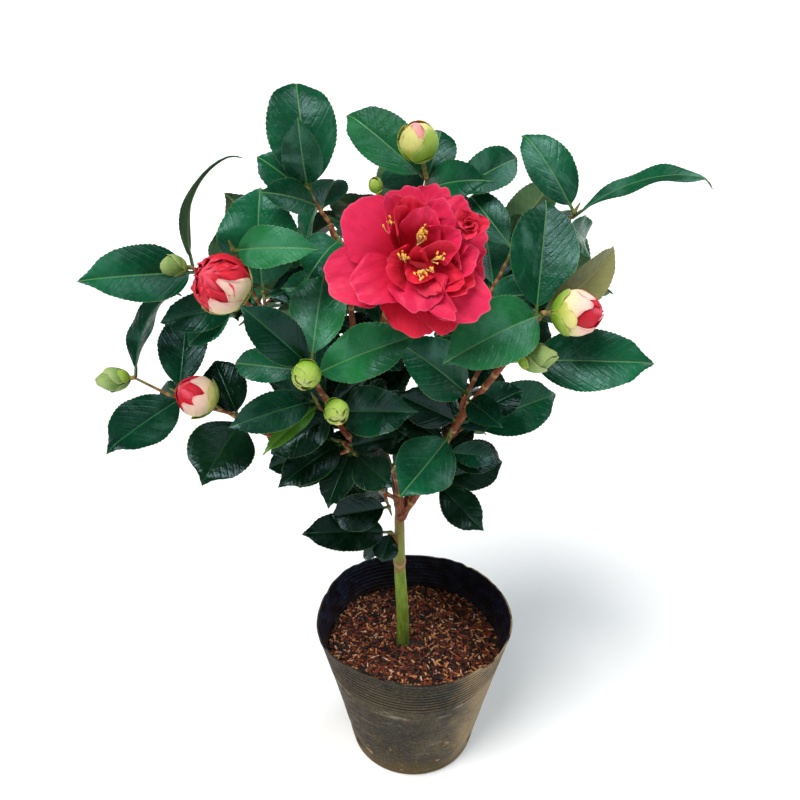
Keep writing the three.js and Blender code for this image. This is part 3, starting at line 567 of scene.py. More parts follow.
class Gather:
    def __init__(self):
        self.spots, self.sharp, self.loops, self.sizes = [], [], [], []
        self.slots, self.maps, self.cells = [], [], []
        self.count, self.used = 0, 0

    def keep(self, spots, sharp=False):
        self.spots.append(spots)
        self.sharp.append(np.broadcast_to(sharp, len(spots)))
        self.count += len(spots)

    def faces(self, corners, slot, maps, cell):
        """Faces of one kind; maps holds size, share and cell place for each corner."""
        self.loops.append(corners.ravel() + self.count)
        self.sizes.append(np.full(len(corners), corners.shape[1]))
        self.slots.append(np.broadcast_to(slot, len(corners)))
        self.maps.append(maps)
        self.cells.append(np.broadcast_to(cell, corners.size))

    def sheet(self, top, under, size, share, slots):
        """A thin closed blade from two grids of places that share their whole border."""
        rows, cols = top.shape[:2]
        within = (rows - 2) * (cols - 2)
        above = np.arange(rows * cols).reshape(rows, cols)
        below = above.copy()
        below[1:-1, 1:-1] = rows * cols + np.arange(within).reshape(rows - 2, cols - 2)
        maps = np.concatenate([size, share, share], -1)
        maps = np.vstack([maps.reshape(-1, 6), maps[1:-1, 1:-1].reshape(-1, 6)])
        for grid, slot in ((above, slots[0]), (below[:, ::-1], slots[1])):
            quads = grid_faces(grid).reshape(-1, 4)
            self.faces(quads, slot, maps[quads.ravel()], self.used)
            self.used += 1
        border = np.ones((rows, cols), bool)
        border[1:-1, 1:-1] = False
        spots = np.vstack([top.reshape(-1, 3), under[1:-1, 1:-1].reshape(-1, 3)])
        self.keep(spots, np.r_[border.ravel(), np.zeros(within, bool)])

    def tube(self, rings, size, share, slot):
        """A closed tube from rings of places; size and share have one column more."""
        rows, sides = rings.shape[:2]
        index = np.arange(rows * sides).reshape(rows, sides)
        around = np.concatenate([index, index[:, :1]], 1)
        at = np.arange(rows * (sides + 1)).reshape(rows, sides + 1)
        spot = stacked(np.linspace(0, 1, sides + 1), np.linspace(0, 1, rows)[:, None])
        maps = np.concatenate([size, share, spot], -1).reshape(-1, 6)
        for faces, looks in zip(tube_faces(around), tube_faces(at)):
            self.faces(faces, slot, maps[looks.ravel()], self.used)
        self.keep(rings.reshape(-1, 3))
        self.used += 1

    def chips(self, boxes, slots):
        """Many small six-sided bodies, eight places each, lower four and then upper four."""
        sides = np.array([[3, 2, 1, 0], [4, 5, 6, 7], [0, 1, 5, 4], [1, 2, 6, 5], [2, 3, 7, 6], [3, 0, 4, 7]])
        count = len(boxes)
        corners = (np.arange(count)[:, None, None] * 8 + sides).reshape(-1, 4)
        square = np.array([[0, 0], [1, 0], [1, 1], [0, 1]])
        spot = np.array([[k % 3, k // 3] for k in range(6)])[:, None] + 0.08 + 0.84 * square
        spot = np.tile((spot / [3, 2]).reshape(-1, 2), (count, 3))
        self.faces(corners, np.repeat(slots, 6), spot, self.used + np.repeat(np.arange(count), 24))
        self.keep(boxes.reshape(-1, 3), True)
        self.used += count

    def cast(self, name):
        mesh = bpy.data.meshes.new(name)
        spots = np.vstack(self.spots) * MM
        loops, sizes = np.concatenate(self.loops), np.concatenate(self.sizes)
        mesh.vertices.add(len(spots))
        mesh.vertices.foreach_set("co", spots.ravel())
        mesh.loops.add(len(loops))
        mesh.loops.foreach_set("vertex_index", loops.astype(np.int32))
        mesh.polygons.add(len(sizes))
        mesh.polygons.foreach_set("loop_start", np.r_[0, np.cumsum(sizes)[:-1]].astype(np.int32))
        mesh.polygons.foreach_set("material_index", np.concatenate(self.slots).astype(np.int32))
        mesh.polygons.foreach_set("use_smooth", np.ones(len(sizes), bool))
        mesh.update(calc_edges=True)
        self.lay_maps(mesh)
        ends = np.empty(len(mesh.edges) * 2, np.int32)
        mesh.edges.foreach_get("vertices", ends)
        sharp = np.concatenate(self.sharp)[ends.reshape(-1, 2)].all(1)
        mesh.attributes.new("sharp_edge", "BOOLEAN", "EDGE").data.foreach_set("value", sharp)
        return mesh

    def lay_maps(self, mesh):
        maps, cell = np.vstack(self.maps), np.concatenate(self.cells)
        wide = math.ceil(math.sqrt(self.used))
        corner = np.stack([cell % wide, cell // wide], 1)
        baked = (corner + 0.04 + 0.92 * maps[:, 4:]) / wide
        for name, values in (("OFBake", baked), ("PartSize", maps[:, :2]), ("PartShare", maps[:, 2:4])):
            layer = mesh.uv_layers.new(name=name)
            layer.uv.foreach_set("vector", values.astype(np.float32).ravel())


def add_piece(name, mesh, finishes, nodes):
    """Puts a mesh in the scene as a piece of the plant that stands for these nodes."""
    piece = put_in_scene(name, mesh)
    for finish in finishes:
        mesh.materials.append(finish)
    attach(piece, "root")
    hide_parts(*nodes)
    mesh.calc_loop_triangles()
    print(name, len(mesh.loop_triangles), "triangles")


print("3 rows of 3 places have", len(grid_faces(np.arange(9).reshape(3, 3)).reshape(-1, 4)), "faces")

# %% [markdown]
# ## A small brush for finishes
#
# A procedural finish is a tree of nodes under one shader. Adding nodes by hand takes
# several lines each, so this brush adds one per call. What it hands back can be added
# and multiplied like a number, and each such sum is a node too. A coat of colour is
# laid over the last one where its mask is high. Values that are the same all over are
# set on the shader's own sockets.

# %% The brush
class Wire:
    """A value on its way through the tree of one brush."""
    def __init__(self, brush, socket):
        self.brush, self.socket = brush, socket

    def sum(self, operation, other=0.0):
        return self.brush.put("Math", 0, {0: self, 1: other}, operation=operation)

    def __add__(self, other):
        return self.sum("ADD", other)

    def __sub__(self, other):
        return self.sum("SUBTRACT", other)

    def __mul__(self, other):
        return self.sum("MULTIPLY", other)

    def __truediv__(self, other):
        return self.sum("DIVIDE", other)

    def __abs__(self):
        return self.sum("ABSOLUTE")

    def axis(self, letter):
        return self.brush.put("SeparateXYZ", letter, {0: self})

    def step(self, low, high, start=0.0, end=1.0):
        """Start below low, end above high, and an easy change between them."""
        wires = {"Value": self, "From Min": low, "From Max": high, "To Min": start, "To Max": end}
        return self.brush.put("MapRange", "Result", wires, interpolation_type="SMOOTHSTEP")


def colour(red, green, blue):
    """A colour as the eye names it, 0 to 255, as the light that the shader wants."""
    shares = [value / 255 for value in (red, green, blue)]
    return tuple(s / 12.92 if s <= 0.04045 else ((s + 0.055) / 1.055) ** 2.4 for s in shares) + (1.0,)


class Brush:
    def __init__(self, name, **sockets):
        self.finish = bpy.data.materials.new(name)
        self.finish.use_nodes = True
        self.tree = self.finish.node_tree
        self.shader = self.tree.nodes["Principled BSDF"]
        for socket, value in sockets.items():
            self.shader.inputs[socket.replace("_", " ")].default_value = value

    def put(self, kind, out, wires, **settings):
        node = self.tree.nodes.new("ShaderNode" + kind)
        for key, value in settings.items():
            setattr(node, key, value)
        for socket, value in wires.items():
            if isinstance(value, Wire):
                self.tree.links.new(value.socket, node.inputs[socket])
            else:
                node.inputs[socket].default_value = value
        return Wire(self, node.outputs[out])

    def place(self):
        return self.put("TexCoord", "Object", {})

    def map(self, name):
        return self.put("UVMap", "UV", {}, uv_map=name)

    def cloud(self, scale, detail=3.0, rough=0.5, warp=0.0, stretch=None, where=None):
        """Noise from 0 to 1 about scale bumps to the metre, or stretched along a map."""
        where = where or self.place()
        if stretch:
            where = self.put("Mapping", 0, {"Vector": where, "Scale": stretch})
        wires = {"Vector": where, "Scale": scale, "Detail": detail, "Roughness": rough, "Distortion": warp}
        return self.put("TexNoise", 0, wires)

    def coats(self, base, *coats):
        """Lays coats over a base, each a mask and a colour or wire."""
        tone = colour(*base)
        for mask, over in coats:
            tone = self.put("Mix", 2, {0: mask, 6: tone, 7: colour(*over)}, data_type="RGBA")
        return tone

    def finish_with(self, tone, rough, height, depth):
        bump = self.put("Bump", 0, {"Height": height, "Distance": depth})
        for socket, wire in (("Base Color", tone), ("Roughness", rough), ("Normal", bump)):
            self.tree.links.new(wire.socket, self.shader.inputs[socket])
        return self.finish


print("a mid leaf green in light:", [round(v, 3) for v in colour(32, 94, 64)[:3]])

# %% [markdown]
# ## Leaf finishes
#
# The upper side of a camellia leaf is dark, leathery and waxy. Fine quilting between
# the veins breaks up its gloss, and here and there a pale bluish sheen, a painted
# reflection of the sky, is laid into its colour. The midrib and the toothed edge are
# pale. The under side is matt and olive. There are several tones, and each leaf is
# dealt one of them: four paint the light and shade that fall on a leaf, from shaded
# to bright, and two are colours of age, fresh and bronze. The midrib and veins are
# drawn from the leaf's own map in millimetres, which keeps them the same width on
# large and small leaves.

# %% Leaf finishes
VEIN_STEP, VEIN_BEND, VEIN_POWER = 8.5, 0.42, 1.35
# The first colour is a painted sheen, a pale bluish reflection of the sky laid into the upper side's colour;
# the second is the leaf stalk's own colour.
PAINTED_SKY_SHEEN, STALK = (104, 160, 142), (84, 104, 46)
WAXY_TINT = (0.62, 0.9, 1.0, 1.0)


def vein_lines(brush):
    """How far across from the midrib a place is in millimetres, and how near a vein."""
    plan = brush.map("PartSize")
    across = abs((plan.axis("X") - 0.5) * 100.0)
    along = plan.axis("Y") * 100.0
    bent = across.sum("POWER", VEIN_POWER) * VEIN_BEND
    part = ((along - bent) / VEIN_STEP).sum("FRACT")
    return across, abs(part - 0.5) * 2.0


def leaf_top(name, deep, mid, rib, edge, gloss, spread, wax):
    brush = Brush(name, IOR=1.45, Specular_IOR_Level=0.3, Specular_Tint=WAXY_TINT)
    share = brush.map("PartShare")
    across, near = vein_lines(brush)
    from_rib = abs(share.axis("X") - 0.5)
    mottle = brush.cloud(230.0, 5.0, 0.65, 0.7)
    tone = brush.coats(
        deep,
        (brush.cloud(17.0).step(0.34, 0.66), mid),
        (mottle.step(0.5, 0.75, 0.0, 0.4), mid),
        (mottle.step(0.25, 0.42, 0.45, 0.0), deep),
        # Painted sheen: a pale bluish reflection of the sky, laid in clouds over the upper side.
        (brush.cloud(24.0, 4.0, 0.6, 0.8).step(0.5, 0.7, 0.0, wax), PAINTED_SKY_SHEEN),
        (near.step(0.93, 1.0, 0.0, 0.13) * from_rib.step(0.3, 0.44, 1.0, 0.0), rib),
        (across.step(0.25, 0.7, 0.62, 0.0), rib),
        (from_rib.step(0.486, 0.499, 0.0, 0.45), edge),
        (share.axis("Y").step(0.07, 0.12, 0.85, 0.0), STALK),
    )
    rough = brush.cloud(110.0, 5.0, 0.65, 0.9).step(0.36, 0.64, gloss, gloss + spread)
    quilt = near.step(0.55, 1.0, 1.0, 0.0) * across.step(0.4, 3.0)
    height = quilt * 0.2 + mottle * 0.6 + brush.cloud(700.0, 2.0) * 0.2
    return brush.finish_with(tone, rough, height, 0.0006)


def leaf_under(name, deep, mid, rib):
    brush = Brush(name, IOR=1.4, Specular_IOR_Level=0.25)
    across, near = vein_lines(brush)
    tone = brush.coats(
        deep,
        (brush.cloud(30.0).step(0.35, 0.65), mid),
        (near.step(0.9, 1.0, 0.0, 0.3), rib),
        (across.step(0.5, 1.1, 0.8, 0.0), rib),
    )
    rough = brush.cloud(140.0).step(0.3, 0.7, 0.45, 0.62)
    return brush.finish_with(tone, rough, near * 0.5 + brush.cloud(400.0), 0.00025)


# Each tone: deep, mid, rib and edge colours, gloss, how far the gloss spreads, and its share
# of painted sky sheen. The shaded and deep tones are painted shade, and the full and bright
# ones painted light; fresh and bronze are colours of age.
PALE_RIB, PALE_EDGE = (98, 144, 84), (132, 168, 92)
LEAF_TONES = {
    "shaded": ((1, 18, 7), (5, 38, 17), (24, 66, 32), PALE_EDGE, 0.09, 0.12, 0.04),
    "deep": ((1, 34, 20), (5, 57, 36), (50, 104, 58), PALE_EDGE, 0.13, 0.2, 0.12),
    "full": ((3, 56, 32), (15, 90, 54), PALE_RIB, PALE_EDGE, 0.17, 0.24, 0.24),
    "bright": ((14, 78, 42), (34, 112, 60), PALE_RIB, PALE_EDGE, 0.2, 0.24, 0.22),
    "fresh": ((58, 120, 30), (92, 146, 44), (150, 184, 90), PALE_EDGE, 0.28, 0.2, 0.0),
    "bronze": ((84, 92, 48), (134, 134, 84), (164, 150, 108), (120, 84, 60), 0.32, 0.2, 0.0),
}
LEAF_FINISHES = [leaf_top("leaf_" + name, *tone) for name, tone in LEAF_TONES.items()]
LEAF_FINISHES.append(leaf_under("leaf_under", (46, 76, 50), (74, 104, 66), (118, 140, 92)))
print("leaf finishes:", ", ".join(finish.name for finish in LEAF_FINISHES))

# %% [markdown]
# ## Leaf relief
#
# Seen close, a camellia leaf is not a flat folded card. It has a groove along its
# midrib, puffs up between the side veins, rolls back at its edge, ripples a little,
# and its edge has small forward teeth every three millimetres. A bump map would shade
# these but leave the outline smooth, so they are built into the mesh: enough rows for
# three to a tooth, and columns set close beside the midrib.

# %% Shape one leaf
LEAF_COLUMNS = np.array([-1, -0.86, -0.56, -0.26, -0.05, 0, 0.05, 0.26, 0.56, 0.86, 1])
ROW_LENGTH, TOOTH, TOOTH_DEPTH = 1.1, 3.4, 0.95
# Depth and width of the groove above the midrib and of the rib below it, in mm.
GROOVE, GROOVE_WIDE, RIB, RIB_WIDE = 0.4, 1.3, 0.95, 0.9
PUFF, LEAF_THICK, STALK_THICK, NIB_DROP = 0.2, 0.3, 2.1, 0.07


def leaf_outline(leaf, luck, shares):
    """How far out each column of places is, in millimetres, with the edge's teeth."""
    s, a = shares[:, None], LEAF_COLUMNS[None]
    belly = PETIOLE + (1 - PETIOLE) * belly_share(shares) ** luck["belly"]
    half = leaf_half_width(leaf["width"], belly)[:, None]
    pointed = (1 - 0.3 * luck["nib"] * smooth(0.8, 0.93, s)) * (1 - 0.75 * smooth(0.965, 1, s))
    saw = (s * leaf["length"] / TOOTH) % 1.0
    toothed = smooth(PETIOLE + 0.08, PETIOLE + 0.2, s) * (1 - smooth(0.95, 1, s))
    teeth = TOOTH_DEPTH * (saw - 0.5) * toothed
    return a * half * pointed + np.sign(a) * teeth * (np.abs(a) == 1), half


def leaf_relief(leaf, luck, shares, x, half):
    """How high the leaf stands above its plain blade and how thick it is."""
    s, a = shares[:, None], LEAF_COLUMNS[None]
    on_blade = smooth(PETIOLE - 0.02, PETIOLE + 0.06, s)
    vein = (s * leaf["length"] - VEIN_BEND * x ** VEIN_POWER) / VEIN_STEP
    puff = (0.5 - 0.5 * np.cos(2 * np.pi * (vein + 0.5))) * np.sin(np.pi * np.abs(a)) ** 0.7
    ripple = np.sin(2 * np.pi * (luck["waves"] * s + luck["phase"] + 0.23 * (a > 0)))
    lift = -GROOVE * np.exp(-(x / GROOVE_WIDE) ** 2) + PUFF * puff
    lift = lift - luck["roll_back"] * half * np.abs(a) ** 3 + luck["ripple"] * half * ripple * a ** 2
    lift = lift * on_blade - NIB_DROP * leaf["length"] * luck["nib"] * smooth(0.84, 1.02, s) ** 2
    rib = RIB * np.exp(-(x / RIB_WIDE) ** 2) * (1 - 0.65 * s)
    stalk = STALK_THICK * np.sqrt(1 - a ** 2 * 0.96)
    return lift, (LEAF_THICK + rib) * on_blade + stalk * (1 - on_blade)


def leaf_blade(gather, leaf, tone, luck):
    shares = np.linspace(0, 1, max(24, round(leaf["length"] / ROW_LENGTH)) + 1)
    reach, half = leaf_outline(leaf, luck, shares)
    lift, thick = leaf_relief(leaf, luck, shares, np.abs(reach), half)
    top = blade_places(leaf, shares, reach, lift)
    under = blade_places(leaf, shares, reach, lift - thick)
    size = stacked(reach / 100 + 0.5, shares[:, None] * leaf["length"] / 100)
    share = stacked(LEAF_COLUMNS / 2 + 0.5, shares[:, None])
    gather.sheet(top, under, size, share, (list(LEAF_TONES).index(tone), len(LEAF_TONES)))


# The range of chance for each habit of a leaf, in the order in which they are drawn.
LEAF_HABITS = {
    "waves": (1.0, 2.8), "phase": (0, 1), "roll_back": (-0.04, 0.16),
    "ripple": (0.04, 0.14), "belly": (0.84, 1.2), "nib": (0.2, 1.2),
}
print("habits dealt to each leaf:", ", ".join(LEAF_HABITS))

# %% [markdown]
# ## Young leaves along the wood
#
# The solids carry the leaves at the shoots' ends. A living camellia also has smaller
# leaves lower on its twigs and on the shaded side of its boughs, and they are what
# makes the heart of the crown dark and full. They follow the same rule and need the
# same kind of room, only a little less of it. None grows where the crown is open.

# %% Grow the smaller leaves
HEART_OF_CROWN, HEART_REACH = np.array([-30.0, 14.0, 405.0]), np.array([92.0, 62.0, 92.0])
BACK_FROM, BACK_TOP = 34.0, 470.0
SMALL_ROOM, SMALL_RINGS = 0.62, (0, 9, 18, 28)


def steps_along(points, step):
    """Places about a step apart along a route, and how far along each of them is."""
    fine = along_route(points, np.linspace(0, 1, 240))
    gone = np.r_[0, np.cumsum(np.linalg.norm(np.diff(fine, axis=0), axis=1))]
    marks = np.linspace(0, gone[-1], max(5, round(gone[-1] / step)) + 1)
    return np.stack([np.interp(marks, gone, fine[:, k]) for k in range(3)], 1), marks


def nodes_on(points, spacing, first):
    """Where the leaves of a twig or bough leave it."""
    whole = steps_along(points, 2.0)[1][-1]
    return list(along_route(points, np.arange(first, whole - 3, spacing) / whole))


def in_the_shade(place):
    behind = place[1] > BACK_FROM and place[2] < BACK_TOP - 0.5 * (place[1] - BACK_FROM)
    return behind or (((place - HEART_OF_CROWN) / HEART_REACH) ** 2).sum() < 1


def small_leaf(mass, root, bearing, draw):
    luck = [next(draw) for _ in range(5)]
    length = 36 + 26 * luck[0]
    return {
        "mass": mass, "root": root, "bearing": bearing, "rise": 34 - 50 * luck[1],
        "face": MASSES[mass]["face"], "length": length, "width": length * (0.46 + 0.1 * luck[2]),
        "arch": 20 + 26 * luck[3], "roll": 24 * (luck[4] - 0.5), "fold": 10 + 10 * luck[1],
        "twist": 30 * (luck[2] - 0.5),
    }


for order, grown in enumerate(growth):
    name, draw = grown["name"], chance(SEEDS["small leaves"] + SMALL_STEP * order)
    nodes = [node for twig in grown["twigs"] for node in nodes_on(twig, 7.5, 5)]
    nodes += nodes_on(LIMBS[MASSES[name]["bough"]]["route"], 9.0, 12)
    grown["small"] = []
    for place, node in enumerate(nodes):
        for way in range(2):
            bearing = (SPIRAL * place + 180 * way + 90 * next(draw)) % 360
            behind = node[1] > BACK_FROM or bearing < 200
            if in_the_shade(node) and behind:
                leaf = place_leaf(small_leaf(name, node, bearing, draw), SMALL_ROOM, SMALL_RINGS)
                grown["small"] += [leaf] if leaf else []
print(sum(len(grown["small"]) for grown in growth), "smaller leaves found room")

# %% [markdown]
# ## Dress the masses of foliage
#
# Which tone a leaf gets depends on where it grows, and paints the light that falls
# there: leaves high and out in the crown get lit tones, and those low in the middle
# get tones that paint their shade. Some whole shoots are painted in more light or in
# more shade than their height gives, and a few leaves are dealt a tone of their own,
# more painted light or shade, or an age of their own, fresh green or bronze. Each
# mass becomes one piece of leaves that stands for its solid.

# %% Make the leaves
# How much more painted light or painted shade each shoot's leaves get than their height gives.
SHOOT_LIGHT = {"low_left": -0.35, "right_rear": 0.4, "right_low": 0.15, "trunk": -0.15}
# Tones for single leaves: shaded, deep, full and bright paint shade and light, fresh and bronze are colours
# of age.
SPECIAL_TONES = {
    "upper_left": {0: "full", 2: "bright"}, "far_left": {0: "deep", 4: "shaded"},
    "centre_left": {0: "bright", 3: "bright"}, "lower_left": {1: "fresh"},
    "front": {2: "fresh", 3: "full"}, "top": {0: "bright"}, "middle_right": {4: "deep"},
    "right": {0: "bright", 2: "bronze"}, "right_side": {0: "full"}, "right_low": {0: "full"},
    "right_rear": {0: "full", 1: "full"},
}
LIGHT_OF_SHADED, LIGHT_OF_DEEP = 0.14, 0.56


# How much painted light a leaf gets: high, outward leaves get lit tones, low inner ones the tones that paint
# shade.
def leaf_tone(leaf, region, dice):
    middle = leaf["root"] + leaf["ahead"] * leaf["length"] / 2
    outward = np.linalg.norm((middle - HEART_OF_CROWN) / CROWN_REACH)
    sunny = 0.55 * outward + 0.9 * (middle[2] - 400) / 250 + dice.uniform(-0.2, 0.2)
    sunny += SHOOT_LIGHT.get(region, 0.0)
    return "shaded" if sunny < LIGHT_OF_SHADED else "deep" if sunny < LIGHT_OF_DEEP else "full"


for order, grown in enumerate(growth):
    region = grown["name"].removeprefix("foliage_")
    special, dice = SPECIAL_TONES.get(region, {}), dice_for("leaves", order)
    gather = Gather()
    for place, leaf in enumerate(grown["leaves"] + grown["small"]):
        tone = leaf_tone(leaf, region, dice)
        luck = {habit: dice.uniform(*limits) for habit, limits in LEAF_HABITS.items()}
        leaf_blade(gather, leaf, special.get(place, tone), luck)
    add_piece("leaves_" + region, gather.cast(grown["name"]), LEAF_FINISHES, [grown["name"]])

# %% [markdown]
# ## Tubes for everything woody
#
# A limb is a tube round its route. The rings are turned as little as possible from
# one to the next, or the bark would seem to be wrung. Each ring's radius follows the
# taper, with a swelling where the limb leaves its parent, low rings where old leaves
# fell, and long flakes of bark from noise that is stretched along the limb.

# %% Tubes along a route
def directions_across(places):
    ways = np.gradient(places, axis=0)
    ways /= np.linalg.norm(ways, axis=1)[:, None]
    side = unit(np.cross(ways[0], [0.31, 0.95, 0.1]))
    sides = []
    for way in ways:
        side = unit(side - way * np.dot(side, way))
        sides.append(side)
    return np.array(sides), np.cross(ways, sides)


def field(places):
    """Smooth noise from -1 to 1 at many places; one unit is about one bump."""
    flat = np.asarray(places).reshape(-1, 3)
    return np.array([noise.noise(Vector(spot)) for spot in flat]).reshape(np.shape(places)[:-1])


def woody_tube(gather, points, radii, seed, slot=0, sides=20, step=1.4, relief=0.2, collar=0.3,
               scars=(14, 30), flare=0.0, tone=(0.0, 1.0), swell=(0.1, 1.2)):
    """A limb; scars is how far apart its rings are, swell how high and broad they are."""
    places, marks = steps_along(points, step)
    across, above = directions_across(places)
    share = marks / marks[-1]
    radius = radii[0] + (radii[1] - radii[0]) * share + flare * np.exp(-14 * share)
    scar = np.cumsum(np.random.default_rng(seed).uniform(*scars, 30)) - scars[0] / 2
    near_scar = np.exp(-((marks[:, None] - scar) / swell[1]) ** 2).max(1)
    foot = np.exp(-((marks - radii[0]) / (1.5 * radii[0])) ** 2)
    radius = radius * (1 + swell[0] * near_scar + collar * foot)
    turn = np.arange(sides) * 2 * math.pi / sides
    around = ring_places(1.0, turn, marks[:, None] / 9)
    bumps = field(around * [2.4, 2.4, 1.0] + seed) + 0.6 * field(around * [5.0, 5.0, 3.0] - seed)
    wide = radius[:, None] + np.reshape(relief, (-1, 1)) * bumps
    closing = np.clip((marks[-1] - marks) / radii[1], 0, 1)
    wide = wide * np.sqrt(np.maximum(1 - (1 - closing) ** 2, 0.02))[:, None]
    c, s = np.cos(turn)[None, :, None], np.sin(turn)[None, :, None]
    rings = places[:, None] + wide[:, :, None] * (across[:, None] * c + above[:, None] * s)
    girth = np.abs(np.linspace(-1, 1, sides + 1)) * math.pi * radii[0] / 100
    size = stacked(girth, marks[:, None] / 100 + seed)
    shade = tone[0] + (tone[1] - tone[0]) * share
    gather.tube(rings, size, stacked(near_scar[:, None], shade[:, None] + 0 * girth), slot)


print("noise at one place:", round(float(field([[0.3, 0.4, 0.5]])[0]), 3))

# %% [markdown]
# ## Bark finishes
#
# The trunk is young: smooth and green low down, with one ring, tan and broken at its
# edge, where a leaf once stood. It is yellower above the ring and turns to flaky red
# brown at the fork. The boughs are red brown with fine long flakes, and the youngest
# twigs go green again at their ends. Height tells the trunk's colours apart, and a
# map along each limb tells the rest.

# %% Bark finishes
RING_HIGH, FORK_HIGH = 0.222, 0.285


def grained(brush, wide, long, detail=3.0, warp=0.0):
    return brush.cloud(1.0, detail, 0.6, warp, (wide, long, 1.0), brush.map("PartSize"))


def bough_bark():
    brush = Brush("bough_bark", IOR=1.45)
    share = brush.map("PartShare")
    grain, flake = grained(brush, 95.0, 14.0), grained(brush, 170.0, 45.0, 4.0, 0.5)
    young = share.axis("Y") + grain * 0.3
    tone = brush.coats(
        (78, 34, 16),
        (grain.step(0.36, 0.62), (150, 76, 34)),
        (flake.step(0.55, 0.72, 0.0, 0.7), (190, 118, 60)),
        # Darker where the flakes sink: partly the bark's own colour, partly painted shade in the crevices.
        (flake.step(0.3, 0.4, 0.7, 0.0), (42, 20, 12)),
        (share.axis("X") * 0.7, (206, 170, 110)),
        (young.step(0.85, 1.2, 0.0, 0.85), (98, 112, 48)),
    )
    return brush.finish_with(tone, flake.step(0.3, 0.7, 0.5, 0.8), flake + grain * 0.7, 0.0004)


def trunk_bark():
    brush = Brush("trunk_bark", IOR=1.45)
    high = brush.place().axis("Z")
    grain, fleck = grained(brush, 30.0, 5.0), grained(brush, 110.0, 60.0, 4.0, 0.4)
    upper = high + grain * 0.02
    from_ring = abs(high - (RING_HIGH + 0.002) + (brush.cloud(90.0, 4.0, 0.6) - 0.5) * 0.02)
    brown = high + fleck * 0.06
    tone = brush.coats(
        (112, 142, 38),
        (grain.step(0.3, 0.7), (156, 178, 70)),
        (upper.step(RING_HIGH, RING_HIGH + 0.028, 0.0, 0.8), (138, 136, 58)),
        (upper.step(0.13, 0.165, 0.8, 0.0), (62, 82, 26)),
        (from_ring.step(0.003, 0.009, 0.92, 0.0), (148, 108, 66)),
        (from_ring.step(0.0005, 0.0025, 0.8, 0.0), (192, 160, 108)),
        (brush.cloud(420.0, 2.0).step(0.68, 0.74, 0.0, 0.7), (176, 160, 96)),
        (brown.step(FORK_HIGH - 0.005, FORK_HIGH + 0.035), (124, 66, 30)),
    )
    return brush.finish_with(tone, fleck.step(0.35, 0.7, 0.42, 0.7), fleck + grain, 0.0004)


BOUGH_BARK, TRUNK_BARK = bough_bark(), trunk_bark()
print("bark finishes:", BOUGH_BARK.name, TRUNK_BARK.name)

# %% [markdown]
# ## Trunk and boughs
#
# The trunk is one tube. Its relief is faint while it is green and grows towards the
# fork. It swells once, at the old leaf's ring. All the boughs are joined into a
# second piece. The spurs are young and go green sooner than the boughs.

# %% Build the trunk and boughs
TRUNK_SUNK = 6
trunk, boughs = Gather(), Gather()
route = LIMBS["trunk"]["route"]
route = [(*route[0][:2], GROUND - TRUNK_SUNK), *route]
heights = steps_along(route, 1.1)[0][:, 2]
ring_along = 1000 * RING_HIGH + 4 - route[0][2]
woody_tube(trunk, route, LIMBS["trunk"]["radii"], SEEDS["trunk"], sides=36, step=1.1, collar=0.0, flare=0.3,
           relief=0.16 + 0.3 * smooth(250, 292, heights), scars=(2 * ring_along,) * 2, swell=(0.16, 4.0))
add_piece("trunk_bark", trunk.cast("trunk"), [TRUNK_BARK], ["trunk"])

bough_names = [name for name in LIMBS if name != "trunk"]
for seed, name in enumerate(bough_names, SEEDS["boughs"]):
    limb_shape, spur = LIMBS[name], name.endswith("spur")
    woody_tube(boughs, limb_shape["route"], limb_shape["radii"], seed, sides=18, step=1.3,
               collar=0.25 if spur else 0.45, scars=(12, 34), tone=(0.0, 0.5 if spur else 0.35))
add_piece("bough_bark", boughs.cast("boughs"), [BOUGH_BARK], bough_names)

# %% [markdown]
# ## Twigs
#
# Each shoot's twig starts inside the end of its bough, so there is no seam, and thins
# towards its tip. A shoot that has no flower bud still ends in a small pointed leaf
# bud.

# %% Build the twigs and their end buds
TWIG = {"sides": 10, "step": 1.8, "relief": 0.09, "collar": 0.15, "scars": (5, 12), "tone": (0.4, 1.0)}
END_BUD = {"sides": 10, "step": 0.8, "relief": 0.1, "collar": 0.35, "scars": (3, 5), "tone": (1.2, 1.3)}
BUD_STALK = {"sides": 12, "step": 0.9, "relief": 0.08, "collar": 0.1, "scars": (3, 6), "tone": (0.8, 1.1)}
twigs, seed = Gather(), SEEDS["twigs"]
for grown in growth:
    start, heart = grown["start"], grown["heart"]
    inside = 2 * start - heart - (heart - start) * 0.6
    budded = [tuple(bud["foot"]) for bud in grown["buds"]]
    for twig in grown["twigs"]:
        seed += 1
        woody_tube(twigs, [inside, *twig], (1.75, 1.05), seed, **TWIG)
        tip, way = twig[2], unit(twig[2] - twig[1])
        if tuple(tip) not in budded:
            end_route = [tip - 2 * way, tip + 3 * way, tip + 8 * way]
            woody_tube(twigs, end_route, (1.5, 0.5), seed + SEEDS["end buds"], **END_BUD)
    for bud in grown["buds"]:
        stalk = [bud["foot"] - bud["ahead"] * 1.5, bud["foot"], bud["root"] + bud["ahead"] * 2]
        woody_tube(twigs, stalk, (1.5, 1.9), seed + SEEDS["stalks"], **BUD_STALK)
add_piece("twig_bark", twigs.cast("twigs"), [BOUGH_BARK], list(MASSES))

# %% [markdown]
# ## Flower buds
#
# A camellia bud is a ball of scales that overlap in a spiral. Closed ones are pale
# green. When a bud swells the scales turn creamy, and when it opens the red petals
# show, wrapped round each other. Each scale or petal here is a patch laid on the
# bud's egg shape, standing a little higher than the one beneath it, over a core.

# %% Lay patches on a bud
BUD_FRONT = np.array([0.0, -0.84, 0.54])
PATCH_ROWS, PATCH_COLUMNS = np.linspace(0, 1, 22)[:, None], np.linspace(-1, 1, 15)[None]
SCALE_THICK = 0.45


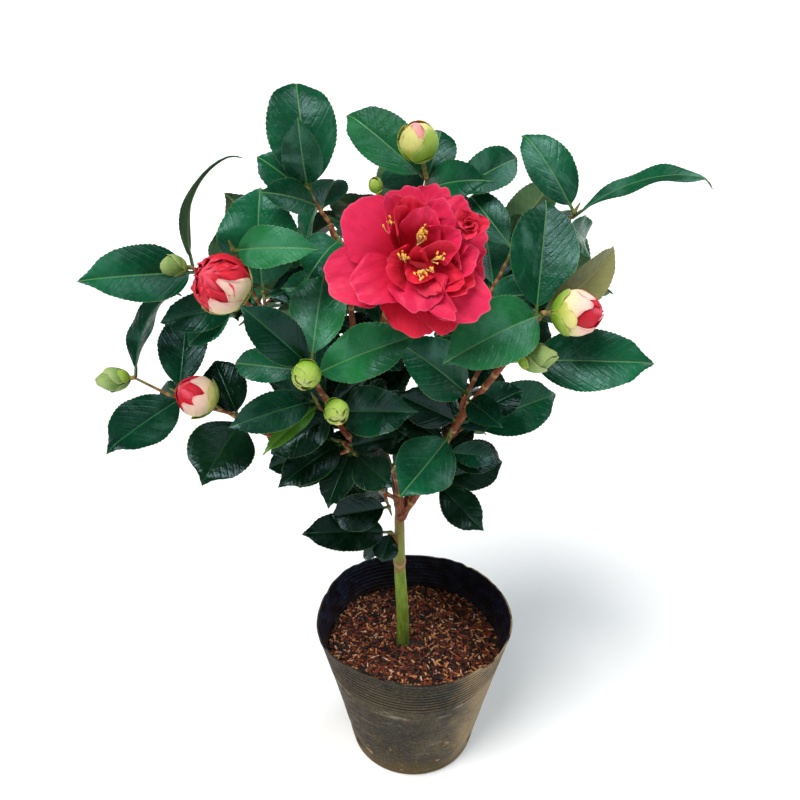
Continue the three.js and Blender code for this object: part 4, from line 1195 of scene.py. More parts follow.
def bud_places(bud, shares, turns, off, point):
    """Places on the bud's egg shape, off millimetres above it. Turn 0 is its front."""
    front = unit(BUD_FRONT - bud["ahead"] * (BUD_FRONT @ bud["ahead"]))
    a = np.radians(turns)[..., None]
    out = front * np.cos(a) + np.cross(bud["ahead"], front) * np.sin(a)
    egg = np.maximum(np.sin(np.pi * np.clip(shares, 0, 1) ** 0.86), 0) ** 0.58
    wide = (bud["radius"] * egg * (1 - point * smooth(0.55, 1.0, shares)))[..., None]
    lean = np.clip(shares, 0, 1)[..., None] * 2 - 1
    off = np.asarray(off)[..., None]
    long = np.asarray(shares)[..., None] * bud["length"]
    wide = wide + off * np.sqrt(1 - 0.9 * lean ** 2)
    return bud["root"] + bud["ahead"] * (long + off * lean) + out * wide


def bud_patch(gather, bud, turn, low, high, wide, stand, slot, point, dice, ruffle):
    s, a = PATCH_ROWS, PATCH_COLUMNS
    blunt = 1 - 0.2 * (1 - np.sqrt(1 - 0.96 * a ** 2)) - 0.12 * np.abs(a) ** 3
    blunt = blunt + 0.03 * ruffle * np.sin(dice.uniform(2, 4) * np.pi * a + dice.uniform(0, 6))
    shares = low + (high - low) * s * blunt
    turns = turn + a * (wide * (0.62 + 0.38 * np.sin(np.pi * s ** 0.8)) * (1 - 0.35 * smooth(0.7, 1, s)))
    phase = dice.uniform(0, 6.28, 2)
    wave = np.sin(2.2 * np.pi * a + phase[0]) + 0.6 * np.sin(5.1 * np.pi * a + phase[1])
    off = stand + 0.5 * (1 - a ** 2) * s + 0.5 * smooth(0.75, 1, s) + ruffle * wave * smooth(0.45, 1, s)
    off = (off + 0.12 * np.sin(9 * np.pi * a)) * (1 - 0.8 * smooth(0.8, 1.0, shares))
    top = bud_places(bud, shares, turns, off, point)
    under = bud_places(bud, shares, turns, off - SCALE_THICK, point)
    size = stacked(0.5 + a * bud["radius"] / 100, s * (bud["length"] * (high - low)) / 100)
    gather.sheet(top, under, size, stacked(a / 2 + 0.5, s), (slot, slot))


def bud_core(gather, bud, slot, point):
    rows, sides = 26, 28
    shares = np.linspace(0.004, 0.996, rows)[:, None]
    shares, turns = np.broadcast_arrays(shares, np.arange(sides) * 360 / sides)
    egg = bud_places(bud, shares, turns, np.full(shares.shape, -0.9), point)
    egg = egg + bud["ahead"] * 0.25 * field(egg / 3.2)[..., None]
    looks = stacked(np.zeros(sides + 1), np.linspace(0, 1, rows)[:, None])
    gather.tube(egg[:, ::-1], looks, looks, slot)


print("a scale has", PATCH_ROWS.size, "rows of", PATCH_COLUMNS.size, "places")

# %% [markdown]
# ## Bud finishes
#
# The scales have a silky, faintly downy skin, greener at the foot and creamy at the
# tip, with a pale brown line along the edge. The petals that show are the colour of
# the open bloom, or blushed cream where they were under a scale. Each kind of bud is
# a list of layers, from the innermost out.

# %% Bud finishes
def skin(name, foot, tip, edge, vein=0.25, gloss=0.38):
    brush = Brush(name, IOR=1.42, Specular_IOR_Level=0.3)
    share = brush.map("PartShare")
    lines = grained(brush, 190.0, 16.0)
    cloud = brush.cloud(130.0)
    rim = abs(share.axis("X") - 0.5).step(0.44, 0.5).sum("MAXIMUM", share.axis("Y").step(0.9, 1.0))
    tone = brush.coats(
        foot,
        ((share.axis("Y") + cloud * 0.5).step(0.45, 1.15), tip),
        (lines.step(0.5, 0.75, 0.0, vein), edge),
        (rim * 0.75, edge),
    )
    return brush.finish_with(tone, cloud.step(0.3, 0.7, gloss, gloss + 0.22), lines + cloud * 0.6, 0.0003)


GREEN_SCALE = skin("scale_green", (112, 156, 30), (160, 186, 80), (190, 198, 124))
CREAM_SCALE = skin("scale_cream", (156, 178, 44), (222, 216, 136), (218, 184, 120))
BUD_FINISHES = [
    GREEN_SCALE, CREAM_SCALE,
    skin("petal_blush", (236, 224, 164), (244, 202, 188), (236, 146, 146), 0.35),
    skin("petal_folded", (168, 12, 30), (212, 28, 50), (232, 86, 106), 0.3),
    skin("scale_pale", (92, 128, 50), (150, 172, 104), (186, 190, 136)),
]
GREEN, CREAM, BLUSHED, RED, PALE = range(5)
# Each kind has its core's finish, how pointed it is, and its layers. Each layer: how
# many patches, first turn, from and to along the bud, half width, stand, finish, ruffle.
BUD_KINDS = {
    "closed": (GREEN, 0.0, [
        (3, 20, 0.3, 1.0, 80, 0.2, GREEN, 0), (2, 330, 0.1, 0.97, 88, 0.7, GREEN, 0),
        (1, 150, 0.02, 0.95, 84, 1.2, CREAM, 0), (2, 10, -0.02, 0.3, 70, 1.6, GREEN, 0)]),
    "pointed": (PALE, 0.35, [
        (3, 40, 0.3, 1.0, 80, 0.2, PALE, 0), (2, 340, 0.1, 0.95, 86, 0.7, PALE, 0),
        (2, 60, 0.0, 0.66, 84, 1.2, PALE, 0), (2, 30, -0.02, 0.3, 74, 1.6, GREEN, 0)]),
    "swelling": (BLUSHED, 0.05, [
        (3, 300, 0.3, 1.0, 76, 0.2, CREAM, 0.1), (2, 320, 0.1, 0.96, 86, 0.8, CREAM, 0),
        (2, 50, 0.02, 0.84, 84, 1.3, GREEN, 0), (3, 0, -0.02, 0.26, 62, 1.7, GREEN, 0)]),
    "showing": (RED, 0.08, [
        (4, 30, 0.3, 1.0, 62, 0.0, RED, 0.45), (3, 70, 0.16, 0.86, 50, 0.7, BLUSHED, 0.3),
        (2, 350, 0.08, 0.8, 52, 1.2, BLUSHED, 0.2), (2, 20, 0.02, 0.56, 56, 1.7, CREAM, 0.1),
        (3, 300, -0.02, 0.42, 50, 2.1, GREEN, 0)]),
    "opening": (RED, 0.0, [
        (4, 0, 0.25, 1.0, 66, 0.0, RED, 0.8), (4, 45, 0.18, 0.98, 60, 0.9, RED, 1.1),
        (5, 20, 0.1, 0.92, 46, 1.8, RED, 1.2), (1, 2, 0.04, 0.88, 38, 2.4, BLUSHED, 0.4),
        (1, 312, 0.04, 0.8, 44, 2.8, BLUSHED, 0.5), (2, 75, 0.0, 0.5, 52, 3.0, CREAM, 0.1),
        (3, 0, -0.02, 0.32, 60, 3.2, GREEN, 0)]),
}
BUDS_OF = {
    "foliage_left": ("pointed", "opening"), "foliage_far_left": ("pointed", "showing"),
    "foliage_centre_left": ("closed", "closed"), "foliage_right": ("showing",),
    "foliage_right_side": ("pointed",), "foliage_top": ("swelling", "closed"),
}
print("bud finishes:", ", ".join(finish.name for finish in BUD_FINISHES))

# %% Build the buds
SCALE_ROOM, TIP_ROOM, FULL_SIZE = 1.2, 1.0, 14
buds, dice = Gather(), dice_for("buds")
budded_masses = []
for grown in growth:
    for bud, kind in zip(grown["buds"], BUDS_OF.get(grown["name"], ())):
        core, point, layers = BUD_KINDS[kind]
        fitted = {**bud, "radius": bud["radius"] - SCALE_ROOM, "length": bud["length"] - TIP_ROOM}
        bud_core(buds, fitted, core, point)
        for patches, first, low, high, wide, stand, slot, ruffle in layers:
            for k in range(patches):
                turn = first + 360 * k / patches + dice.uniform(-12, 12)
                step_out = (stand + 0.3 * (k % 2)) * min(bud["radius"] / FULL_SIZE, 1)
                upper = high - dice.uniform(0, 0.05)
                bud_patch(buds, fitted, turn, low, upper, wide, step_out, slot, point, dice, ruffle)
        budded_masses.append(grown["name"])
add_piece("flower_buds", buds.cast("flower_buds"), BUD_FINISHES, budded_masses)

# %% [markdown]
# ## The open bloom
#
# This is a loose peony-form camellia: broad smooth guard petals outside, shorter
# ruffled ones that stand up inside them, and small crumpled petals in the middle with
# tufts of golden stamens among them. Such a flower is not regular, so each petal has
# its own line in a table. A petal is a paddle-shaped sheet whose outer edge is a free
# line, so it can be notched and waved, and noise over the whole sheet crumples it
# like thin cloth.

# %% Shape a petal
BLOOM_ACROSS = np.array([1.0, 0.0, 0.0])
BLOOM_ABOVE = -np.cross(BLOOM_ACROSS, BLOOM_AHEAD)
PETAL_ROWS, PETAL_COLUMNS = np.linspace(0, 1, 30)[:, None], np.linspace(-1, 1, 35)[None]
FINE = np.linspace(0, 1.2, 50)


def face_place(x, y, deep):
    """A place in the bloom, seen from its front, in millimetres from its middle."""
    return BLOOM_CENTRE + BLOOM_ACROSS * x + BLOOM_ABOVE * y + BLOOM_AHEAD * deep


def petal_edge(dice):
    """The free outer edge with its notch, and a wave that runs across the petal."""
    a = PETAL_COLUMNS
    waves, phases = dice.uniform([0.7, 1.5, 3.4], [1.1, 2.1, 4.6]), dice.uniform(0, 6.28, 3)
    edge = 1 + 0.022 * np.sin(waves[1] * np.pi * a + phases[0])
    edge = edge + 0.012 * np.sin(waves[2] * np.pi * a + phases[1])
    edge = edge - 0.035 * np.exp(-((a - dice.uniform(-0.3, 0.3)) / 0.1) ** 2)
    wave = np.sin(waves[0] * np.pi * a + phases[2]) + 0.4 * np.sin(waves[1] * np.pi * a + phases[0])
    return edge, wave + 0.1 * np.sin(waves[2] * np.pi * a + phases[1])


def petal(gather, root, bearing, length, width, stand, curl, cup, ruffle, lean, slot, seed, foot=3.0,
          thick=0.35):
    b, up_angle = math.radians(bearing), math.radians(stand)
    outward = BLOOM_ACROSS * math.cos(b) + BLOOM_ABOVE * math.sin(b)
    ahead = outward * math.cos(up_angle) + BLOOM_AHEAD * math.sin(up_angle)
    up = turned(BLOOM_AHEAD * math.cos(up_angle) - outward * math.sin(up_angle), ahead, lean)
    s, a = PETAL_ROWS, PETAL_COLUMNS
    edge, wave = petal_edge(np.random.default_rng(seed))
    share = s * edge * (1 - 0.6 * (1 - np.sqrt(1 - 0.92 * a ** 2)) * s)
    half = foot + (width / 2 - foot) * np.sin(np.pi / 2 * np.minimum(s / 0.78, 1)) ** 0.9
    reach = a * half * (1 - 0.1 * smooth(0.8, 1, s) * np.abs(a))
    lift = cup * a ** 2 * np.sin(np.pi / 2 * s) + ruffle * wave * smooth(0.25, 1, s)
    lift = lift + 0.12 * np.cos(7 * np.pi * a) * smooth(0.1, 0.4, s) * (1 - s)
    spots = stacked(a * width / 11 + seed, s * length / 15, 0.3 * seed)
    crumple = 1.2 * ruffle ** 0.5 * field(spots) + 0.6 * field(spots * 2.3)
    lift = lift + crumple * smooth(0.15, 0.8, s)
    along, above, slope = (np.interp(share, FINE, run)[..., None] for run in blade_run(curl, length, FINE))
    normal = up * np.cos(slope) - ahead * np.sin(slope)
    spine = face_place(*root) + ahead * along + up * above
    top = spine + np.cross(ahead, up) * reach[..., None] + normal * lift[..., None]
    under = top - normal * (thick * (1.6 - s))[..., None]
    size = stacked(reach / 100 + 0.5, share * length / 100)
    gather.sheet(top, under, size, stacked(a / 2 + 0.5, s), (slot, slot))


print("a petal has", PETAL_ROWS.size, "rows of", PETAL_COLUMNS.size, "places")

# %% [markdown]
# ## Petal and stamen finishes
#
# The petals are carmine: deeper red at the foot, partly their own colour and partly
# painted shade deep in the flower, pinker towards the edge and pale along it, with
# fine veins that fan out. A faint sheen gives the velvet. The stamens have pale yellow
# threads and golden heads.

# %% Bloom finishes
VELVET = {"Sheen_Weight": 0.04, "Sheen_Roughness": 0.4, "Subsurface_Weight": 0.12, "Subsurface_Scale": 0.002}


def petal_finish(name, foot, tip, edge):
    brush = Brush(name, IOR=1.4, Specular_IOR_Level=0.25, **VELVET)
    share = brush.map("PartShare")
    along = share.axis("Y")
    fan = brush.cloud(1.0, 3.0, 0.6, 0.0, (30.0, 2.0, 1.0), share)
    tone = brush.coats(
        # The foot colour: partly the petal's own deep red, partly painted shade deep in the flower.
        foot,
        ((along + (brush.cloud(42.0) - 0.5) * 0.5).step(0.1, 0.85), tip),
        (fan.step(0.52, 0.7, 0.0, 0.28), foot),
        (along.step(0.965, 1.0, 0.0, 0.35), edge),
    )
    rough = brush.cloud(240.0).step(0.3, 0.7, 0.42, 0.6)
    return brush.finish_with(tone, rough, fan + brush.cloud(500.0) * 0.35, 0.0004)


# Foot colours: partly the petals' own deep red, partly painted shade deep in the flower, darkest on the inner
# petals.
BLOOM_FINISHES = [
    petal_finish("petal_guard", (190, 12, 42), (220, 40, 84), (238, 104, 142)),
    petal_finish("petal_inner", (178, 12, 34), (222, 34, 64), (236, 92, 122)),
    petal_finish("petal_heart", (182, 14, 40), (226, 48, 80), (244, 124, 150)),
    skin("stamen_thread", (232, 196, 110), (240, 214, 130), (246, 226, 150), 0.2),
    skin("stamen_head", (222, 138, 28), (240, 170, 44), (250, 200, 90), 0.4),
    GREEN_SCALE, CREAM_SCALE,
]
GUARD, INNER, MIDDLE, THREAD, HEAD, SEPAL, PALE_SEPAL = range(7)
print("bloom finishes:", len(BLOOM_FINISHES))

# %% The petals, one line each
# Root (across, up, deep), bearing, length, width, stand, curl, cup, ruffle, lean, finish.
PETALS = [
    ((-4, 4, -20), 139, 51, 50, 18, 24, 4, 1.0, 0, GUARD),
    ((-5, -1, -22), 192, 54, 48, 10, 26, 3, 1.4, 0, GUARD),
    ((3, -5, -24), 273, 44, 48, 8, 20, 3, 0.8, 0, INNER),
    ((6, -6, -24), 297, 46, 30, 10, 20, 3, 1.0, 0, INNER),
    ((6, -5, -21), 328, 54, 42, 14, 24, 5, 2.4, 0, GUARD),
    ((6, 0, -23), 354, 45, 36, 12, 16, 3, 1.2, 0, GUARD),
    ((6, 2, -23), 20, 49, 40, 14, 20, 3, 1.2, 0, GUARD),
    ((4, 5, -23), 45, 50, 40, 14, 20, 3, 1.2, 0, GUARD),
    ((2, 6, -23), 70, 50, 38, 14, 20, 3, 1.2, 0, GUARD),
    ((-1, 6, -22), 95, 46, 38, 16, 20, 4, 1.2, 0, GUARD),
    ((-3, 6, -19), 108, 45, 26, 34, 16, 6, 1.2, 30, GUARD),
    ((-4, -2, -18), 211, 42, 38, 24, 34, 4, 2.4, 0, GUARD),
    ((3, -5, -17), 279, 36, 40, 34, 60, 5, 1.4, 0, GUARD),
    ((6, -6, -19), 306, 46, 20, 30, 50, 5, 1.6, 20, GUARD),
    ((8, -4, -18), 338, 40, 30, 30, 20, 5, 1.6, 0, INNER),
    ((8, 0, -18), 2, 42, 34, 32, 22, 5, 1.2, 0, GUARD),
    ((7, 4, -18), 30, 42, 34, 34, 22, 5, 1.2, 0, GUARD),
    ((4, 6, -18), 58, 44, 34, 34, 24, 5, 1.2, 0, GUARD),
    ((0, 7, -18), 90, 42, 30, 38, 20, 5, 1.2, 10, INNER),
    ((4, 12, -13), 70, 32, 28, 46, 24, 6, 1.2, 0, GUARD),
    ((13, 7, -13), 26, 31, 28, 48, 30, 6, 1.2, 0, GUARD),
    ((-4, 12, -15), 104, 34, 18, 50, 10, 6, 0.8, 40, INNER),
    ((18, -3, -10), 66, 27, 30, 56, -30, 9, 0.4, 0, MIDDLE),
    ((-1, -3, -13), 186, 26, 30, 54, 30, 7, 1.0, -12, INNER),
    ((11, -10, -9), 284, 19, 22, 40, 80, 3, 1.0, 0, MIDDLE),
    ((6, 0, -9), 96, 20, 14, 66, 6, 5, 0.6, -20, INNER),
    ((17, -9, -10), 336, 24, 22, 44, 20, 5, 1.2, 0, INNER),
    ((8, -5, -11), 236, 22, 22, 56, 30, 5, 1.0, 10, INNER),
    ((2, 5, -17), 262, 24, 30, 16, 10, 2, 0.4, 0, INNER),
]
WHORL, WHORL_PETALS = np.array([37.0, 22.0, -1.0]), 9
bloom = Gather()
for seed, line in enumerate(PETALS, SEEDS["petals"]):
    petal(bloom, *line, seed)
for k in range(WHORL_PETALS):
    petal(bloom, WHORL + [0, 0, 0.5 * k], SPIRAL * k, 17 - 1.1 * k, 14 - 0.8 * k, 40 + 4 * k, 30, 2, 1.1, 0,
          MIDDLE, SEEDS["whorl"] + k, foot=1.5)
print(len(PETALS), "petals and a whorl of", WHORL_PETALS)

# %% [markdown]
# ## Stamens, sepals and stem
#
# The stamens stand in tufts between the small petals. Each is a bent thread with a
# golden head. Behind the flower short green sepals clasp the petals' feet, and a
# stem joins them to the bough.

# %% Stamens, sepals and stem
# Each tuft: its place (across, up, deep) and how many stamens it has.
TUFTS = [
    ((-13, 24, 4), 9), ((7, 17, 8), 20), ((-4, 2, 6), 10),
    ((7, -10, 10), 9), ((19, 1, 9), 7), ((14, -7, 9), 3),
]
THREAD_TUBE = {"slot": THREAD, "sides": 6, "step": 2.2, "relief": 0.02, "collar": 0.0}
HEAD_TUBE = {"slot": HEAD, "sides": 8, "step": 0.55, "relief": 0.12, "collar": 0.0}
dice = dice_for("stamens")
for (x, y, deep), number in TUFTS:
    for _ in range(number):
        head = face_place(*(np.array([x, y, deep]) + dice.normal(0, 1.9, 3)))
        root = face_place(x * 0.7, y * 0.7, deep - 14)
        middle = (head + root) / 2 + dice.normal(0, 1.2, 3)
        woody_tube(bloom, [root, middle, head], (0.32, 0.28), int(dice.integers(9999)), **THREAD_TUBE)
        way = unit(head - middle + dice.normal(0, 5, 3))
        anther = [head - way * 1.1, head, head + way * 1.3]
        woody_tube(bloom, anther, (0.75, 0.55), int(dice.integers(9999)), **HEAD_TUBE)
for k in range(7):
    inner = k % 2
    petal(bloom, (0, 0, -25 - 1.5 * inner), 51.4 * k + 8, 17 - 3 * inner, 15, -8 + 6 * inner, -30, 3, 0.3, 0,
          PALE_SEPAL if inner else SEPAL, SEEDS["sepals"] + k, foot=2.5, thick=0.6)
end, way = bough_tip("bloom_bough")
cup = BLOOM_CENTRE - BLOOM_AHEAD * (BLOOM_BEHIND + 6)
stem = [end - way * 2, end + way * 6, (end + cup) / 2, cup, cup + BLOOM_AHEAD * 5]
woody_tube(bloom, stem, (1.9, 2.6), SEEDS["stem"], SEPAL, sides=14, step=1.0, relief=0.1, collar=0.2,
           scars=(4, 8))
add_piece("open_bloom", bloom.cast("open_bloom"), BLOOM_FINISHES, ["bloom_on_twig"])

# %% [markdown]
# ## The soft pot
#
# A nursery pot of this kind is thin blown plastic. Its rim is never quite round, and
# it wears: the edge has nicks and one torn step. The top band has fine rings pressed
# into it, and the wall below is slack. Each of these habits is a rule that tells, for
# a bearing and a height, how far the wall stands out and how high its rim is.

# %% Shape the pot
POT_BASE, POT_RIM, POT_HIGH, POT_WALL, POT_FLOOR = 60.0, 90.0, 158.0, 1.6, 3.0
POT_TURNS, HOLE_SPREAD, HOLE_HIGH, HOLE_RADIUS = 240, 3, 18.0, 5.0
HOLE_TURNS, FOOT_ROUND = (62, 142, 222), 2.2
BAND_LOW, BAND_STEP, BAND_RINGS = 117.0, 4.3, 9
# Each nick of the rim: its bearing in radians and how deep it is.
NICKS = ((0.9, 1.6), (2.2, 1.4), (2.75, 2.2), (3.5, 1.8), (4.3, 1.5), (5.1, 1.8))
TORN, TORN_DEEP = (math.radians(312), math.radians(348)), 4.5


def torn_rim(turn):
    """How much the rim has lost at a bearing: a worn edge, a few nicks and one torn step."""
    around = ring_places(9.0, turn, 0.0)
    worn = 1.1 * np.maximum(field(around), 0) + 0.5 * np.abs(field(around * 2.7 + 3))
    nicks = sum(deep * np.exp(-((turn % (2 * math.pi) - at) / 0.045) ** 2) for at, deep in NICKS)
    begun = TORN[0] + 0.03
    return worn + nicks + TORN_DEEP * smooth(TORN[0], begun, turn) * (1 - smooth(begun, TORN[1], turn))


def pot_wave(turn, high, radius):
    """How far the slack wall stands out and how far its rim rises at a bearing."""
    share, back, ease = high / POT_HIGH, -turn, np.minimum(radius / POT_BASE, 1)
    out = (2.4 * np.sin(2 * back + 0.9) + 1.2 * np.sin(5 * back + 0.4)) * share ** 2
    lift = (3.2 * np.sin(back + 0.7) + 1.4 * np.sin(3 * back + 2)) * share ** 6
    return out * ease, (lift - torn_rim(turn) * smooth(0.93, 1.0, share)) * ease


def pot_relief(turn, high):
    """Pressed rings in the top band, and slack folds and dents below it."""
    ring = (high - BAND_LOW) / BAND_STEP
    in_band = smooth(-0.2, 0.2, ring) * (1 - smooth(BAND_RINGS - 0.4, BAND_RINGS - 0.1, ring))
    pressed = -0.55 * np.abs(np.cos(np.pi * ring)) ** 14 * in_band
    spots = ring_places(2.2, turn, high / 46)
    slack = 1.5 * field(spots) + 0.5 * field(spots * [3.2, 3.2, 2.0] + 7)
    folds = 0.35 * field(spots * [9.0, 9.0, 0.9] + 3)
    return pressed + (slack + folds) * smooth(4, 40, high) * (1 - 0.75 * smooth(100, 135, high))


def pot_radius(high):
    return POT_BASE + (POT_RIM - POT_BASE) * high / POT_HIGH


def pot_wall(radius, high, turns):
    turn = turns * 2 * math.pi / POT_TURNS
    out, lift = pot_wave(turn, high, radius)
    return ring_places(radius + out + pot_relief(turn, high), turn, high + lift)


print("the pot is", 2 * POT_RIM, "mm across its rim and", POT_HIGH, "mm high")

# %% [markdown]
# ## Rows of the wall and its drain holes
#
# The pot is one closed wall: a grid of places outside and a grid inside that meet at
# the rim. The rows lie closer where the wall has rings or a rounded foot. The grid is
# fine enough that a block of its faces can be left out for each drain hole. The
# places round the block are drawn into a circle, so no cutting tool is needed.

# %% Lay out the wall
hole_rows = np.linspace(HOLE_HIGH - HOLE_RADIUS, HOLE_HIGH + HOLE_RADIUS, 2 * HOLE_SPREAD + 1)
rows = np.r_[0.0, 0.5, 1.6, 3.0, 5.5, 8, 10.7, hole_rows, 25.5, 28.5, np.arange(32, 114, 2.4),
             np.arange(BAND_LOW - 1.6, POT_HIGH - 0.4, 0.72), POT_HIGH - 0.2]
hole_row = int(np.searchsorted(rows, HOLE_HIGH - 0.01))
high = np.repeat(rows[:, None], POT_TURNS, 1)
turns = np.repeat(np.arange(POT_TURNS, dtype=float)[None], len(rows), 0)
step_wide = 2 * math.pi * pot_radius(HOLE_HIGH) / POT_TURNS
for hole in HOLE_TURNS:
    x, z = np.broadcast_arrays((np.arange(POT_TURNS) - hole) * step_wide, high - HOLE_HIGH)
    block, straight = np.maximum(np.abs(x), np.abs(z)), np.maximum(np.hypot(x, z), 1e-6)
    pull = 1 - smooth(HOLE_RADIUS + 0.4, 2.1 * HOLE_RADIUS, block)
    scale = 1 + pull * (block / straight - 1)
    turns = turns + x * (scale - 1) / step_wide
    high = high + z * (scale - 1)
foot = np.clip((FOOT_ROUND - high) / FOOT_ROUND, 0, 1)
outer = pot_wall(pot_radius(high) - FOOT_ROUND * (1 - np.sqrt(1 - foot ** 2)), high, turns)
inner = pot_wall(pot_radius(high) - POT_WALL, np.maximum(high, POT_FLOOR), turns)
rim = outer[-1, :, 2]
print("pot wall", outer.shape, "rim from", rim.min().round(1), "to", rim.max().round(1), "mm")

# %% [markdown]
# ## Pot finish
#
# Outside, the black plastic is dulled by splashed soil: khaki and brown, tan where it
# has dried on the right, ochre low down, mossy on one side, whitish where the band
# ends, and gritty all over. The left side gets a darker brown, which is painted shade,
# and the grooves get painted shade darker than the bare plastic. Inside it is still
# nearly black, with a painted blue sheen. Height and side come from the object's own
# coordinates, and clouds break every edge. The coats of dirt, painted shade and
# painted sheen are laid from the broad ones to the fine ones.

# %% Pot finishes
CHALK, TAN, DRY = (150, 142, 122), (158, 134, 100), (128, 118, 92)
BAND_FOOT = BAND_LOW * MM


def pot_outside():
    brush = Brush("pot_outside", IOR=1.45, Specular_IOR_Level=0.15)
    high, left = brush.place().axis("Z"), brush.place().axis("X")
    big, small = brush.cloud(16.0, 5.0, 0.6, 0.6), brush.cloud(75.0, 6.0, 0.7, 0.5)
    streak = brush.cloud(1.0, 5.0, 0.65, 0.2, (26.0, 26.0, 170.0))
    grit = brush.cloud(420.0, 4.0, 0.7)
    side = left + (big - 0.5) * 0.06
    low = high + big * 0.05
    moss = left.step(0.03, 0.06) * small.step(0.42, 0.66) * high.step(0.06, 0.12, 1.0, 0.0)
    splash = brush.cloud(70.0, 4.0, 0.6, 0.3).step(0.64, 0.67) * low.step(0.06, 0.1, 0.9, 0.0)
    scuff = abs(high + small * 0.012 - (BAND_FOOT - 0.002)).step(0.001, 0.008, 0.8, 0.0)
    ring = ((high - BAND_FOOT) / (BAND_STEP * MM)).sum("FRACT")
    groove_shade = abs(ring - 0.5).step(0.3, 0.47) * high.step(BAND_FOOT - 0.0015, BAND_FOOT + 0.001)
    tone = brush.coats(
        (30, 27, 19),
        (small.step(0.38, 0.66), (68, 60, 42)),
        (big.step(0.5, 0.7, 0.0, 0.5), (92, 78, 54)),
        # Painted shade: a darker brown over the left side.
        (side.step(-0.07, -0.03, 0.7, 0.0), (60, 46, 30)),
        (side.step(0.028, 0.06, 0.0, 0.9) * small.step(0.3, 0.56, 0.45, 1.0), TAN),
        (moss * 0.45, (112, 108, 50)),
        (low.step(0.03, 0.06, 0.65, 0.0), (96, 74, 28)),
        (splash, (176, 142, 92)),
        (scuff * streak.step(0.5, 0.62), CHALK),
        (streak.step(0.6, 0.7, 0.0, 0.55), DRY),
        (streak.step(0.3, 0.42, 0.7, 0.0), (22, 20, 15)),
        (grit.step(0.5, 0.68, 0.0, 0.3), DRY),
        (grit.step(0.34, 0.48, 0.4, 0.0), (18, 16, 12)),
        # Painted shade in the pressed grooves, darker than the bare plastic.
        (groove_shade * 0.9, (12, 11, 9)),
    )
    return brush.finish_with(tone, small.step(0.3, 0.7, 0.45, 0.75), small + streak * 0.7, 0.0007)


def pot_inside():
    brush = Brush("pot_inside", IOR=1.48)
    dust_and_sheen, scratch = brush.cloud(70.0, 6.0, 0.75, 0.4), brush.cloud(520.0, 3.0, 0.7)
    specks = scratch.step(0.58, 0.66) * dust_and_sheen.step(0.45, 0.6)
    tone = brush.coats(
        (5, 7, 14),
        # A painted blue sheen in clouds over the black plastic; the specks below are dust.
        (dust_and_sheen.step(0.38, 0.66), (20, 30, 56)),
        (specks * 0.6, (96, 104, 116)),
        (brush.place().axis("Z").step(0.12, 0.14, 0.5, 0.0), (36, 28, 20)),
    )
    return brush.finish_with(tone, dust_and_sheen.step(0.35, 0.7, 0.3, 0.6), dust_and_sheen + scratch * 0.4, 0.0006)


POT_FINISHES = [pot_outside(), pot_inside()]
print("pot finishes:", ", ".join(finish.name for finish in POT_FINISHES))

# %% [markdown]
# ## Join the pot's faces
#
# The outside, rim and inside are one sheet of rows that goes over the rim. Each hole
# leaves out a block of faces from both sides, and its edge is closed by short faces
# from outside to inside. The floor has an underside and an inside that meet the wall.

# %% Cast the pot
FLOOR_RINGS = np.array([0.93, 0.8, 0.62, 0.42, 0.22, 0.07])
HOLE_WIDE = 2 * HOLE_SPREAD
OUTSIDE, INSIDE = 0, 1


def block_edge(row, turn, rows_up):
    """The places round a block of faces left out for a hole; row by row up or down."""
    wide, span = HOLE_WIDE, range(HOLE_WIDE)
    around = [(0, k) for k in span] + [(k, wide) for k in span]
    around += [(wide, wide - k) for k in span] + [(wide - k, 0) for k in span]
    return np.array([index[row + (up if rows_up else wide - up), turn + k] for up, k in around])


pot, first = Gather(), len(FLOOR_RINGS)
under_floor = outer[0][None] * [1, 1, 0] * FLOOR_RINGS[:, None, None]
over_floor = inner[0][None] * [1, 1, 0] * FLOOR_RINGS[:, None, None] + [0, 0, POT_FLOOR]
wall = np.vstack([under_floor[::-1], outer, inner[::-1], over_floor])
levels = len(wall)
index = np.arange(levels * POT_TURNS).reshape(levels, POT_TURNS)
quads = grid_faces(np.concatenate([index, index[:, :1]], 1))
whole = np.ones(quads.shape[:2], bool)
outer_row = first + hole_row - HOLE_SPREAD
inner_row = first + 2 * len(rows) - 1 - hole_row - HOLE_SPREAD
lips = []
for turn in (hole - HOLE_SPREAD for hole in HOLE_TURNS):
    for row in (outer_row, inner_row):
        whole[row:row + HOLE_WIDE, turn:turn + HOLE_WIDE] = False
    out_ring, in_ring = block_edge(outer_row, turn, True), block_edge(inner_row, turn, False)
    lips.append(np.stack([out_ring, in_ring, np.roll(in_ring, -1), np.roll(out_ring, -1)], -1))
inside = (np.arange(levels - 1)[:, None] >= first + len(rows)) & whole
at = stacked(np.arange(POT_TURNS) / POT_TURNS, np.arange(levels - 1)[:, None] / levels)
step_up = np.array([[0, 0], [1 / POT_TURNS, 0], [1 / POT_TURNS, 1 / levels], [0, 1 / levels]])
spot = at[:, :, None] + step_up
for chosen, finish in ((whole & ~inside, OUTSIDE), (inside, INSIDE)):
    pot.faces(quads[chosen], finish, np.tile(spot[chosen].reshape(-1, 2), 3), 0)
for corners, finish in ((np.vstack(lips), OUTSIDE), (index[:1, ::-1], OUTSIDE), (index[-1:], INSIDE)):
    pot.faces(corners, finish, np.tile([0.5, 0.999], (corners.size, 3)), 0)
pot.keep(wall.reshape(-1, 3))
pot.used = 1
add_piece("nursery_pot", pot.cast("nursery_pot"), POT_FINISHES, ["pot"])

# %% [markdown]
# ## Soil of bark splinters
#
# The pot is filled with shredded bark. A bumpy closed body makes the bed, a little
# sunk beside the trunk, and nearly four thousand splinters are strewn over it. Each
# is a small six-sided body with its own length, tilt and colour, all joined into one
# piece.

